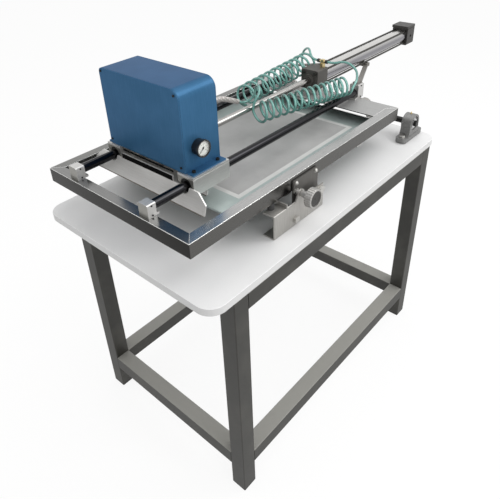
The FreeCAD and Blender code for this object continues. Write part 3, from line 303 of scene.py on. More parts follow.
@dataclass(frozen=True)
class Lacquer(Finish):
    """Metallic lacquer on folded sheet: satin, with the sheet's upright grain showing through."""

    light: str = "#477095"
    edge: str = "#2f6496"
    streak_mm: float = 1.6
    mottle_mm: float = 60.0
    upright: tuple[float, float, float] = (1.0, 1.0, 0.03)

    def pattern(self, work: Work) -> None:
        """Upright streaks and broad mottle in the colour, and the streaks in the bump.

        Args:
            work: The material in the making.
        """
        mapping = work.add("Mapping", {"Scale": self.upright})
        streak = work.add("TexNoise", {"Scale": per_metre(self.streak_mm), "Detail": 3.0},
                          {"Vector": mapping})
        cloud = work.add("TexNoise", {"Scale": per_metre(self.mottle_mm), "Detail": 3.0})
        both = work.add("Math", {"operation": "ADD"}, {0: streak, 1: cloud})
        work.stain(both, self.light, (0.8, 1.3), 0.3)
        work.bump(streak, 0.02, 0.1)
        work.settle({"Coat Weight": 0.1, "Coat Roughness": 0.25, "Specular IOR Level": 0.1,
                     "Specular Tint": linear(self.edge)})


@dataclass(frozen=True)
class BrushedMetal(Finish):
    """Metal with a brushed grain along one axis, drawn ten times coarser than real, to show."""

    grain: Axis = Axis.ALONG
    streak: str = "#8d8d8b"
    grain_mm: float = 0.9
    contrast: float = 0.5
    stretch: float = 0.025
    cloud_mm: float = 70.0

    def pattern(self, work: Work) -> None:
        """Streaks stretched forty times along the grain, and broad clouds of duller metal.

        Args:
            work: The material in the making.
        """
        scale = [1.0 if part == 0.0 else self.stretch for part in self.grain.value]
        mapping = work.add("Mapping", {"Scale": scale})
        noise = work.add("TexNoise", {"Scale": per_metre(self.grain_mm), "Detail": 3.0},
                         {"Vector": mapping})
        cloud = work.add("TexNoise", {"Scale": per_metre(self.cloud_mm), "Detail": 2.0})
        work.stain(noise, self.streak, (0.3, 0.7), self.contrast)
        work.uneven(cloud, 0.06, 0.12)
        work.bump(noise, 0.1, 0.1)


@dataclass(frozen=True)
class CastMetal(Finish):
    """Sand-cast iron or die-cast alloy with a fine pebbled skin."""

    dark: str = "#3a3a38"
    pebble_mm: float = 1.6

    def pattern(self, work: Work) -> None:
        """Pebbles in the bump and darker hollows in the colour.

        Args:
            work: The material in the making.
        """
        noise = work.add("TexNoise", {"Scale": per_metre(self.pebble_mm), "Detail": 4.0})
        work.stain(noise, self.dark, (0.7, 0.35), 0.5)
        work.bump(noise, 0.3, 0.3)


@dataclass(frozen=True)
class Moulded(Finish):
    """Moulded plastic or rubber. Its spark-eroded grain is drawn eight times coarser, to show."""

    worn: str = "#2a2a2a"
    grain_mm: float = 0.8
    bloom_mm: float = 25.0
    gloss: float = 0.5

    def pattern(self, work: Work) -> None:
        """Fine grain in the bump and a faint greyer bloom in the colour.

        Args:
            work: The material in the making.
        """
        grain = work.add("TexNoise", {"Scale": per_metre(self.grain_mm), "Detail": 2.0})
        cloud = work.add("TexNoise", {"Scale": per_metre(self.bloom_mm), "Detail": 3.0})
        work.stain(cloud, self.worn, (0.4, 0.8), 0.5)
        work.settle({"Specular IOR Level": self.gloss})
        work.bump(grain, 0.12, 0.15)


@dataclass(frozen=True)
class Laminate(Finish):
    """Melamine board: pale grey, satin, with a very fine print and slight scuffs."""

    speckle: str = "#cbcbcb"
    speck_mm: float = 2.5
    scuff_mm: float = 160.0

    def pattern(self, work: Work) -> None:
        """A fine speckle, stronger in broad clouds.

        Args:
            work: The material in the making.
        """
        speck = work.add("TexNoise", {"Scale": per_metre(self.speck_mm), "Detail": 3.0})
        cloud = work.add("TexNoise", {"Scale": per_metre(self.scuff_mm), "Detail": 3.0})
        both = work.add("Math", {"operation": "MULTIPLY"}, {0: speck, 1: cloud})
        work.stain(both, self.speckle, (0.15, 0.4), 0.5)
        work.bump(speck, 0.04, 0.1)


@dataclass(frozen=True)
class ScreenMesh(Finish):
    """Emulsion-coated polyester mesh. Its threads are drawn twelve times coarser, to show."""

    thread_mm: float = 1.2
    cloud_mm: float = 120.0
    light: str = "#a9a9a8"

    def pattern(self, work: Work) -> None:
        """Two crossed wave patterns for the threads, and clouds for the emulsion.

        Args:
            work: The material in the making.
        """
        scale = per_metre(self.thread_mm) / BANDS_PER_SCALE
        warp, weft = [work.add("TexWave", {"bands_direction": way, "Scale": scale,
                                           "Distortion": 0.2}) for way in "XY"]
        weave = work.add("Math", {"operation": "MAXIMUM"}, {0: warp, 1: weft})
        cloud = work.add("TexNoise", {"Scale": per_metre(self.cloud_mm), "Detail": 5.0,
                                      "Roughness": 0.6})
        both = work.add("Math", {"operation": "MULTIPLY_ADD", 1: 0.25}, {0: weave, 2: cloud})
        work.stain(both, self.light, (0.4, 0.95))
        work.bump(weave, 0.15, 0.1)


@dataclass(frozen=True)
class HoseSkin(Finish):
    """Polyurethane air hose: teal and half clear, with a painted shade that darkens its rims."""

    deep: str = "#2f6f67"
    cloud_mm: float = 18.0

    def pattern(self, work: Work) -> None:
        """A painted shade at the rims, mixed with random clouds, and gloss.

        Args:
            work: The material in the making.
        """
        rim = work.add("LayerWeight", {"Blend": 0.45})
        cloud = work.add("TexNoise", {"Scale": per_metre(self.cloud_mm), "Detail": 2.0})
        both = work.add("Math", {"operation": "MULTIPLY_ADD", 1: 0.25},
                        {0: cloud, 2: rim.outputs["Facing"]})
        work.stain(both, self.deep, (0.1, 0.9))
        work.settle({"Transmission Weight": 0.25, "IOR": 1.5, "Coat Weight": 0.5,
                     "Coat Roughness": 0.15})


@dataclass(frozen=True)
class Braid(Finish):
    """Tinned braid over a hose: slanted strands that cross, drawn at 3 mm to show."""

    dark: str = "#a39d99"
    strand_mm: float = 3.0
    slant: float = 0.8

    def pattern(self, work: Work) -> None:
        """Two slanted wave patterns in colour and bump.

        Args:
            work: The material in the making.
        """
        waves = []
        scale = per_metre(self.strand_mm) / BANDS_PER_SCALE
        for turn in (self.slant, -self.slant):
            mapping = work.add("Mapping", {"Rotation": (turn, 0.0, turn)})
            waves.append(work.add("TexWave", {"Scale": scale, "Distortion": 0.4},
                                  {"Vector": mapping}))
        weave = work.add("Math", {"operation": "MULTIPLY"}, {0: waves[0], 1: waves[1]})
        work.stain(weave, self.dark, (1.0, 0.0))
        work.bump(weave, 0.4, 0.5)


@dataclass(frozen=True)
class Clear(Finish):
    """Clear acrylic, with a faint haze."""

    haze_mm: float = 8.0

    def pattern(self, work: Work) -> None:
        """Full transmission with uneven roughness.

        Args:
            work: The material in the making.
        """
        haze = work.add("TexNoise", {"Scale": per_metre(self.haze_mm)})
        work.uneven(haze, 0.03, 0.03)
        work.settle({"Transmission Weight": 1.0, "IOR": 1.15, "Alpha": 0.3})


def channel(wall_shade: str) -> tuple[Facing, Facing]:
    """The painted highlight on the arris and the painted shade and reflection on the wall of a
    channel rail.
    """
    return (Facing("#efefed", 0.98, 0.9), Facing(wall_shade, 0.14, 0.04))


class Paint:
    """The machine's finishes by name, each with what its making gives the eye, and some with
    painted light and shade.
    """

    # Baked powder: a dull near-black; faces that look up or down are painted a lighter grey, a
    # painted highlight.
    LEG = PowderCoat("powder_coated_steel", "#1f1e19", 0.5, slot="table_steel",
                     faces=(Facing("#8b8a85", 0.3, 0.95),))
    # Pressed melamine: pale and even; its side faces are painted darker, a painted shade.
    BOARD = Laminate("melamine_board", "#d6d6d6", 0.45, slot="board_laminate",
                     faces=(Facing("#bdbdbd", 0.7, 0.3),))
    # Moulded polyethylene: matt black against the floor.
    CAP = Moulded("polyethylene_cap", "#1a1a1a", 0.6, slot="foot_plastic")
    # Sand-cast iron: mid grey, pebbled, with a soft sheen.
    CAST = CastMetal("cast_iron", "#8d8d8c", 0.45, 0.6, slot="cast_housing")
    # Ground steel: a brighter ring in the dull casting.
    BEARING = BrushedMetal("bearing_steel", "#a8a6a2", 0.3, 1.0, slot="bearing_steel",
                           streak="#6f6d6a")
    # Zinc plate: small bright heads.
    BOLT = BrushedMetal("zinc_plated_steel", "#cbcac6", 0.28, 1.0, slot="bolt_steel",
                        streak="#a19f9b")
    # Bent sheet: satin grey with the mill's upright grain.
    BRACKET = BrushedMetal("bent_steel_sheet", "#b0aeaa", 0.34, 0.75, slot="bracket_steel",
                           grain=Axis.UP, streak="#807e7a")
    # Moulded rubber: black, with hardly a highlight.
    RUBBER = Moulded("black_rubber", "#151515", 0.75, slot="black_rubber")
    # Near-black matt strip: a painted shade, put where the gap under the cover is only shadow.
    SEAL = Moulded("painted_gap_shade", "#090909", 0.9, slot="black_rubber", worn="#101010",
                   gloss=0.05)
    # Extruded channel: mirror-like flanges; the arris is a painted highlight, and the walls are
    # painted shade and reflection. The grain runs along each rail; each rail's copy is painted for
    # its own side.
    RAIL_SIDE = BrushedMetal("brushed_aluminium_along", "#b9b9b8", 0.22, 1.0,
                             slot="frame_aluminium", streak="#959594", faces=channel("#5c5b59"))
    # The left rail's flange is painted darker, a painted shade and reflection.
    RAIL_LEFT = BrushedMetal("shaded_aluminium_along", "#858583", 0.25, 1.0,
                             slot="frame_aluminium", streak="#696967", faces=channel("#6a6967"))
    RAIL_CROSS = BrushedMetal("brushed_aluminium_across", "#8e8e8d", 0.2, 1.0,
                              slot="frame_aluminium", grain=Axis.ACROSS, streak="#747473",
                              faces=channel("#171613"))
    RAIL_DECK = BrushedMetal("brushed_aluminium_deck", "#a6a6a5", 0.4, 0.5,
                             slot="frame_aluminium", grain=Axis.ACROSS, streak="#8d8d8c",
                             faces=channel("#3a3937"))
    # Etched aluminium: a pale satin border; its green cast is a painted reflection.
    BORDER = BrushedMetal("satin_aluminium", "#a9b4b2", 0.38, 0.4, slot="stencil_border",
                          streak="#97a4a1")
    # Woven polyester under emulsion: an even grey with a faint weave.
    MESH = ScreenMesh("polyester_screen_mesh", "#919190", 0.5, slot="stencil_mesh")
    # Oil-blackened plate: dark, with some metal shining through.
    DARK_PLATE = BrushedMetal("blackened_steel", "#5f5d5a", 0.45, 0.6, slot="dark_plate",
                              grain=Axis.UP, streak="#454340")
    # Hard chrome: a sharp line of light along the rod.
    CHROME = BrushedMetal("hard_chrome", "#b9b7b4", 0.14, 1.0, slot="chrome_rod",
                          streak="#8f8d8a", contrast=0.25)
    # Milled block: bright, with the cutter's marks across.
    BLOCK = BrushedMetal("machined_aluminium", "#cbcac8", 0.32, 0.8, slot="block_aluminium",
                         grain=Axis.ACROSS, streak="#a1a09e")
    # Drawn bar: bright sides, and a painted shade that darkens the faces looking along the machine.
    BAR = BrushedMetal("drawn_aluminium_bar", "#d2d1cf", 0.3, 0.8, slot="block_aluminium",
                       streak="#aeadab", faces=(Facing("#8c8b86", 0.86, 0.97, "Y"),))
    # Anodised profile: bright on top, with its sides painted darker, a painted shade.
    TUBE = BrushedMetal("anodised_aluminium", "#dcdbd8", 0.2, 1.0, slot="cylinder_tube",
                        streak="#9c9a97", grain_mm=0.5, contrast=0.35,
                        faces=(Facing("#8a898d", 0.8, 0.2),))
    # Drawn steel: thin dark lines beside the bright tube.
    TIE = BrushedMetal("drawn_steel_rod", "#4d4b48", 0.3, 0.9, slot="bolt_steel",
                       streak="#2f2e2b")
    # Coated die casting: a brownish grey skin, pebbled.
    CASTING = CastMetal("coated_die_casting", "#53504c", 0.5, 0.2, slot="cylinder_cap",
                        dark="#2e2c29")
    # The rear cap's coat is blacker and catches more light on its edges.
    CASTING_REAR = CastMetal("black_die_casting", "#353331", 0.42, 0.3, slot="cylinder_cap",
                             dark="#1e1d1b")
    # Turned brass: a small warm spot among the greys.
    BRASS = BrushedMetal("turned_brass", "#d8c79a", 0.25, 1.0, slot="brass_fitting",
                         streak="#a8905a")
    # Moulded nylon: black collars with a soft sheen.
    BLACK = Moulded("black_nylon", "#181818", 0.45, slot="black_plastic")
    # Sprayed metallic lacquer: steel blue that lightens along the folds.
    BLUE = Lacquer("steel_blue_lacquer", "#315a7b", 0.36, 0.4, slot="cover_blue")
    # Black oxide: dark screw heads.
    SCREW = BrushedMetal("blackened_screw", "#2b2b2b", 0.4, 0.7, slot="dark_screw",
                         streak="#161616")
    # Cast acrylic: only its highlight shows.
    LENS = Clear("clear_acrylic", "#f4f8f8", 0.05, slot="gauge_glass")
    # Moulded case: a glossy black ring.
    GAUGE = Moulded("black_gauge_case", "#141414", 0.3, slot="gauge_black")
    # Chromed brass: a thin bright circle round the dial.
    RING = BrushedMetal("chromed_ring", "#c9c9c7", 0.15, 1.0, slot="gauge_black",
                        streak="#8f8f8d")
    # Printed sheet: a warm matt white, with black ink on it.
    DIAL = Moulded("printed_dial", "#d6d5d0", 0.6, slot="gauge_black", worn="#c6c4bd")
    INK = Moulded("dial_ink", "#1c1c1c", 0.6, slot="gauge_black")
    # Polished steel shaft: near-black, a painted reflection of dark surroundings, with a mirror's
    # highlight.
    ROD = BrushedMetal("polished_steel_shaft", "#343436", 0.12, 1.0, slot="chrome_rod",
                       streak="#242426", contrast=0.3)
    # Painted flat bar: a dull mid grey.
    STAY = BrushedMetal("painted_flat_bar", "#77746f", 0.45, 0.5, slot="cylinder_cap",
                        streak="#5c5955")
    # Turned aluminium: fine rings of light on the knob, round a dull pressed disc.
    KNOB = BrushedMetal("turned_aluminium_knob", "#b0aeab", 0.35, 0.8, slot="block_aluminium",
                        grain=Axis.ACROSS, streak="#8b8a87")
    DISC = Moulded("pressed_knob_disc", "#2b2a28", 0.6, slot="block_aluminium", worn="#3a3936")
    # Adhesive tape: a pale smooth strip round the mesh.
    TAPE = Moulded("adhesive_tape", "#c2c3c1", 0.4, slot="stencil_border", worn="#b2b3b0")
    # Bright rolled sheet: a clear pale reflection without a hard edge.
    HOLDER = BrushedMetal("bright_steel_sheet", "#d4d3d1", 0.35, 0.5, slot="holder_steel",
                          grain=Axis.ACROSS, streak="#b3b2af")
    # Cast polyurethane: a dull brown strip.
    BLADE = Moulded("squeegee_polyurethane", "#5b5247", 0.5, slot="blade_rubber",
                    worn="#6d6356")
    # Extruded polyurethane: glossy teal, with painted shade deeper at the rims.
    HOSE = HoseSkin("polyurethane_hose", "#86c0b6", 0.25, slot="hose_teal")
    # Woven tinned wire: a pale glitter of crossing strands.
    BRAID = Braid("tinned_braid", "#d8d5d3", 0.35, 0.4, slot="conduit_silver")


def deselect() -> None:
    """Deselect everything, so that an operator acts only on what comes next."""
    if bpy.context.object is not None and bpy.context.object.mode != "OBJECT":
        bpy.ops.object.mode_set(mode="OBJECT")
    bpy.ops.object.select_all(action="DESELECT")


def activate(piece: Piece) -> None:
    """Select one object alone and make it active.

    Args:
        piece: The object.
    """
    deselect()
    piece.select_set(True)
    bpy.context.view_layer.objects.active = piece


@contextmanager
def editing(piece: Piece) -> Iterator[None]:
    """Hold one piece in edit mode with all of it selected.

    Args:
        piece: The mesh object.

    Returns:
        A context in which the operators of edit mode work on the piece.
    """
    activate(piece)
    bpy.ops.object.mode_set(mode="EDIT")
    bpy.ops.mesh.select_all(action="SELECT")
    yield
    bpy.ops.object.mode_set(mode="OBJECT")


def apply_place(piece: Piece) -> None:
    """Put an object's place, turn and scale into its mesh."""
    activate(piece)
    bpy.ops.object.transform_apply(location=True, rotation=True, scale=True)


def smooth(piece: Piece, angle: float = EDGE_ANGLE) -> None:
    """Shade smooth, but keep edges sharper than the angle."""
    activate(piece)
    bpy.ops.object.shade_smooth_by_angle(angle=angle)


def bevel(piece: Piece, width_mm: float, segments: int = 2) -> None:
    """Round off the piece's sharp edges with a bevel modifier, applied.

    Args:
        piece: The mesh object.
        width_mm: Width of the rounded edge.
        segments: Number of faces across it.
    """
    activate(piece)
    modifier = piece.modifiers.new("edge", "BEVEL")
    modifier.width = width_mm * MM
    modifier.segments = segments
    modifier.limit_method = "ANGLE"
    modifier.angle_limit = EDGE_ANGLE
    modifier.use_clamp_overlap = True
    bpy.ops.object.modifier_apply(modifier=modifier.name)


def flatten(piece: Piece) -> None:
    """Let the large faces keep their own normals, so that flat sheet looks flat.

    Args:
        piece: The mesh object, shaded smooth.
    """
    activate(piece)
    modifier = piece.modifiers.new("flat_faces", "WEIGHTED_NORMAL")
    modifier.keep_sharp = True
    bpy.ops.object.modifier_apply(modifier=modifier.name)


def coat(piece: Piece, finish: Finish) -> None:
    """Give a piece its material, and report it.

    Args:
        piece: The mesh object.
        finish: Its finish.
    """
    piece.data.materials.clear()
    piece.data.materials.append(finish.build())
    log.info("piece %s, finish %s", piece.name, finish.name)


def dress(piece: Piece, finish: Finish, body: Body, *nodes: str) -> Piece:
    """Give a finished piece the body it rides on and its material.

    Args:
        piece: The mesh object, in place.
        finish: Its finish.
        body: The body that it moves with.
        nodes: CAD nodes that it stands for.

    Returns:
        The same piece.
    """
    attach(piece, body.value)
    coat(piece, finish)
    if nodes:
        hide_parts(*nodes)
    return piece


def softened(node: str, finish: Finish, body: Body, edge_mm: float, segments: int = 2) -> Piece:
    """Copy a CAD node, merge its loose triangles and round off its edges.

    Args:
        node: The node's name, which the copy then stands for.
        finish: Its finish.
        body: The body that it moves with.
        edge_mm: Width of the rounded edges.
        segments: Faces across each rounded edge.

    Returns:
        The new piece.
    """
    source = bpy.data.objects[node]
    piece = source.copy()
    piece.data = source.data.copy()
    for key in list(piece.keys()):
        if key.startswith("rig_"):
            del piece[key]
    piece.parent = None
    piece.matrix_world = Matrix.Identity(4)
    piece.name = node + "_edged"
    bpy.context.collection.objects.link(piece)
    with editing(piece):
        bpy.ops.mesh.remove_doubles(threshold=MERGE_DISTANCE)
        bpy.ops.mesh.dissolve_limited(angle_limit=COPLANAR_ANGLE)
    bevel(piece, edge_mm, segments)
    smooth(piece)
    flatten(piece)
    return dress(piece, finish, body, node)


def at(x: float, y: float, z: float) -> Vector:
    """Turn a place of the part's source, in mm from the table's middle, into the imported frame.

    Args:
        x: To the operator's right.
        y: To the rear.
        z: Above the floor.

    Returns:
        The point in metres.
    """
    return Vector((x * MM, y * MM + TABLE_SHIFT, z * MM))


def lay_along(axis: Axis) -> Matrix:
    """Work out the turn that lays an upright piece along an axis.

    Args:
        axis: The axis.

    Returns:
        The turn.
    """
    turns = {Axis.UP: Matrix.Identity(4), Axis.ACROSS: Matrix.Rotation(math.pi / 2, 4, "Y"),
             Axis.ALONG: Matrix.Rotation(-math.pi / 2, 4, "X")}
    return turns[axis]


def turned(name: str, profile: list[tuple[float, float]], place: Vector, axis: Axis,
           sides: int = 32) -> Piece:
    """Turn a round piece: a disc is extruded and resized step by step, as on a lathe.

    Args:
        name: The piece's name.
        profile: Radius and height of each step in mm, from the base.
        place: Where the base's centre goes, in metres.
        axis: The direction that the steps rise along.
        sides: Number of sides of the disc.

    Returns:
        The closed mesh, in place.
    """
    deselect()
    bpy.ops.mesh.primitive_circle_add(vertices=sides, radius=profile[0][0] * MM,
                                      fill_type="NGON")
    piece = bpy.context.object
    piece.name = name
    with editing(piece):
        for (radius, height), (next_radius, next_height) in zip(profile, profile[1:]):
            rise = (0.0, 0.0, (next_height - height) * MM)
            bpy.ops.mesh.extrude_region_move(TRANSFORM_OT_translate={"value": rise})
            grow = next_radius / radius
            bpy.ops.transform.resize(value=(grow, grow, 1.0), center_override=(0.0, 0.0, 0.0))
        bpy.ops.mesh.select_all(action="SELECT")
        bpy.ops.mesh.normals_make_consistent(inside=False)
    piece.matrix_world = (Matrix.Translation(place) @ lay_along(axis)
                          @ Matrix.Translation((0.0, 0.0, profile[0][1] * MM)))
    apply_place(piece)
    smooth(piece)
    return piece


def plate(name: str, low: Vector, high: Vector, edge_mm: float = 0.3) -> Piece:
    """Cut a flat plate or strip and break its edges.

    Args:
        name: The piece's name.
        low: Its lowest corner.
        high: Its highest corner.
        edge_mm: Width of the broken edges.

    Returns:
        The mesh, in place.
    """
    deselect()
    bpy.ops.mesh.primitive_cube_add(size=1.0, location=(low + high) / 2)
    piece = bpy.context.object
    piece.name = name
    piece.scale = high - low
    apply_place(piece)
    bevel(piece, edge_mm)
    smooth(piece)
    flatten(piece)
    return piece


def copied(piece: Piece, move: Matrix) -> Piece:
    """Copy a mesh, with its own data, and move the copy.

    Args:
        piece: The mesh object.
        move: The copy's place and turn as seen from the piece.

    Returns:
        The copy.
    """
    twin = piece.copy()
    twin.data = piece.data.copy()
    bpy.context.collection.objects.link(twin)
    twin.matrix_world = move
    apply_place(twin)
    return twin


def joined(name: str, pieces: list[Piece]) -> Piece:
    """Join meshes into one piece.

    Args:
        name: The name of the joined piece.
        pieces: The meshes.

    Returns:
        The one mesh.
    """
    activate(pieces[0])
    for piece in pieces:
        piece.select_set(True)
    bpy.ops.object.join()
    pieces[0].name = name
    return pieces[0]


@dataclass
class Studio:
    """Camera, lamps, floor and background."""

    place: tuple[float, float, float] = (0.94546, -1.36124, 1.58482)
    azimuth: float = 43.76
    elevation: float = 31.81
    roll: float = -3.0
    focal_mm: float = 37.947
    sensor_mm: float = 36.0
    shift: tuple[float, float] = (0.033, -0.1073)
    far_m: float = 60.0
    background: str = "#ffffff"
    ambient: float = 0.82
    floor_tone: str = "#f2f2f1"
    floor_glow: float = 0.88
    floor_radius: float = 14.0
    floor_rim: float = 11.0
    floor_drop: float = 0.0006
    # Name, place, aim, side in metres and watts.
    lamps: tuple[tuple, ...] = (
        ("sky_lamp", (0.4, 0.2, 4.2), (0.0, 0.0, 0.7), 3.6, 52.0),
        ("right_lamp", (3.6, -0.6, 1.9), (0.0, -0.1, 0.8), 2.2, 42.0),
        ("left_lamp", (-2.6, -2.8, 2.0), (0.0, -0.2, 0.8), 2.0, 4.0),
        ("rear_lamp", (1.9, 1.5, 3.2), (0.0, -0.5, 1.1), 1.6, 31.0))

    def camera(self) -> None:
        """Set up the camera at the photograph's viewing angle."""
        turn, lift, lean = (math.radians(v) for v in (self.azimuth, self.elevation, self.roll))
        back = Vector((math.sin(turn) * math.cos(lift), -math.cos(turn) * math.cos(lift),
                       math.sin(lift)))
        right = Vector((math.cos(turn), math.sin(turn), 0.0))
        up = Vector((-math.sin(turn) * math.sin(lift), math.cos(turn) * math.sin(lift),
                     math.cos(lift)))
        x_axis = math.cos(lean) * right + math.sin(lean) * up
        y_axis = -math.sin(lean) * right + math.cos(lean) * up
        data = bpy.data.cameras.new("camera")
        data.sensor_width = self.sensor_mm
        data.lens = self.focal_mm
        data.shift_x, data.shift_y = self.shift
        data.clip_end = self.far_m
        camera = bpy.data.objects.new("camera", data)
        matrix = Matrix((x_axis, y_axis, back)).transposed().to_4x4()
        matrix.translation = Vector(self.place)
        camera.matrix_world = matrix
        bpy.context.collection.objects.link(camera)
        bpy.context.scene.camera = camera
        log.info("camera at %s", self.place)

    def lamp(self, name: str, place: tuple[float, float, float],
             aim: tuple[float, float, float], size: float, watts: float) -> None:
        """Add a square soft lamp.

        Args:
            name: The lamp's name.
            place: Where it hangs.
            aim: The point that it faces.
            size: Its side length in metres.
            watts: Its power.
        """
        data = bpy.data.lights.new(name, "AREA")
        data.size = size
        data.energy = watts
        lamp = bpy.data.objects.new(name, data)
        lamp.location = place
        way = Vector(aim) - Vector(place)
        lamp.rotation_euler = way.to_track_quat("-Z", "Y").to_euler()
        bpy.context.collection.objects.link(lamp)
        log.info("lamp %s, %.0f W", name, watts)

    def seen(self, work: Work) -> Node:
        """Tell the rays that show the background from those that only carry light.

        Args:
            work: The node tree of the world or the floor, in the making.

        Returns:
            A node that gives 1 for camera, glossy and transmission rays.
        """
        path = work.add("LightPath")
        either = work.add("Math", {"operation": "MAXIMUM"},
                          {0: path.outputs["Is Camera Ray"], 1: path.outputs["Is Glossy Ray"]})
        return work.add("Math", {"operation": "MAXIMUM"},
                        {0: either, 1: path.outputs["Is Transmission Ray"]})

    def world(self) -> None:
        """A plain pale background, with weaker light from all round."""
        world = bpy.data.worlds.new("studio")
        world.use_nodes = True
        world.node_tree.nodes.clear()
        work = Work(world.node_tree)
        pale, dim = [work.add("Background", {"Color": linear(self.background), "Strength": light})
                     for light in (1.0, self.ambient)]
        mixed = work.add("MixShader", links={0: self.seen(work), 1: dim, 2: pale})
        work.add("OutputWorld", links={"Surface": mixed})
        bpy.context.scene.world = world

    def floor(self) -> None:
        """A pale floor that keeps a soft shadow under the table."""
        deselect()
        bpy.ops.mesh.primitive_circle_add(vertices=64, radius=self.floor_radius,
                                          fill_type="NGON",
                                          location=(0.0, 0.0, -self.floor_drop))
        piece = bpy.context.object
        piece.name = "studio_floor"
        with editing(piece):
            bpy.ops.mesh.inset(thickness=self.floor_rim)
        apply_place(piece)
        material = bpy.data.materials.new("pale_floor")
        material.use_nodes = True
        material.node_tree.nodes.clear()
        work = Work(material.node_tree)
        share = work.add("Math", {"operation": "MULTIPLY", 1: self.floor_glow},
                         {0: self.seen(work)})
        matt = work.add("BsdfDiffuse", {"Color": linear(self.floor_tone)})
        glow = work.add("Emission", {"Color": linear(self.background), "Strength": 1.0})
        mixed = work.add("MixShader", links={0: share, 1: matt, 2: glow})
        work.add("OutputMaterial", links={"Surface": mixed})
        piece.data.materials.append(material)

    def build(self) -> None:
        """Make the whole studio."""
        bpy.context.scene.view_settings.view_transform = "Standard"
        self.camera()
        self.world()
        self.floor()
        for row in self.lamps:
            self.lamp(*row)


@dataclass
class Assembly:
    """A sub-assembly: CAD nodes to soften and dress, body by body, and pieces that only show.

    After each body come rows of node, finish, edge width in mm and, where it isn't 2, the
    number of faces across the edge.
    """

    nodes: tuple[tuple, ...] = ()

    def extras(self) -> None:
        """Add the pieces that the CAD leaves out."""

    def build(self) -> None:
        """Make the whole sub-assembly."""
        for body, *rows in self.nodes:
            for node, finish, *edge in rows:
                softened(node, finish, body, *edge)
        self.extras()


@dataclass
class Coil:
    """The helix of one coiled hose, in mm of the part's source.

    The radii hold for the first turn, the middle and the last turn. Sway makes the turns
    uneven, and crowding pushes them towards the end. The smooth line cuts the corners of its
    control points, so swell moves these outwards.
    """

    start: Vector
    end: Vector
    turns: float
    first_angle: float
    spin: int
    radii: tuple[float, float, float]
    sway: float = 0.6
    crowding: float = 0.0
    per_turn: int = 14
    swell: float = 1.015
    first_fade: float = 1.1
    last_fade: float = 0.9

    def points(self) -> list[Vector]:
        """Work the helix out as control points.

        Returns:
            The points in mm, from start to end.
        """
        axis = (self.end - self.start).normalized()
        side = axis.cross(Vector((0.0, 0.0, 1.0))).normalized()
        if side.x < 0:
            side = -side
        rise = Vector((0.0, 0.0, 1.0)) - axis * axis.z
        rise.normalize()
        count = round(self.turns * self.per_turn)
        first, middle, last = self.radii
        found = []
        for i in range(count + 1):
            t = i / count
            angle = math.radians(self.first_angle) + self.spin * 2 * math.pi * self.turns * t
            radius = middle + (first - middle) * max(0.0, 1 - t * self.turns / self.first_fade)
            radius += (last - middle) * max(0.0, 1 - (1 - t) * self.turns / self.last_fade)
            # Three waves that don't fit each other, so that no two turns sway alike.
            radius += self.sway * math.sin(9.1 * t + 0.7) * math.sin(23.0 * t)
            along = (t + self.crowding * math.sin(math.pi * t)
                     + self.sway * 0.004 * math.sin(31.0 * t))
            found.append(self.start.lerp(self.end, along)
                         + (side * math.cos(angle) + rise * math.sin(angle)) * radius * self.swell)
        return found


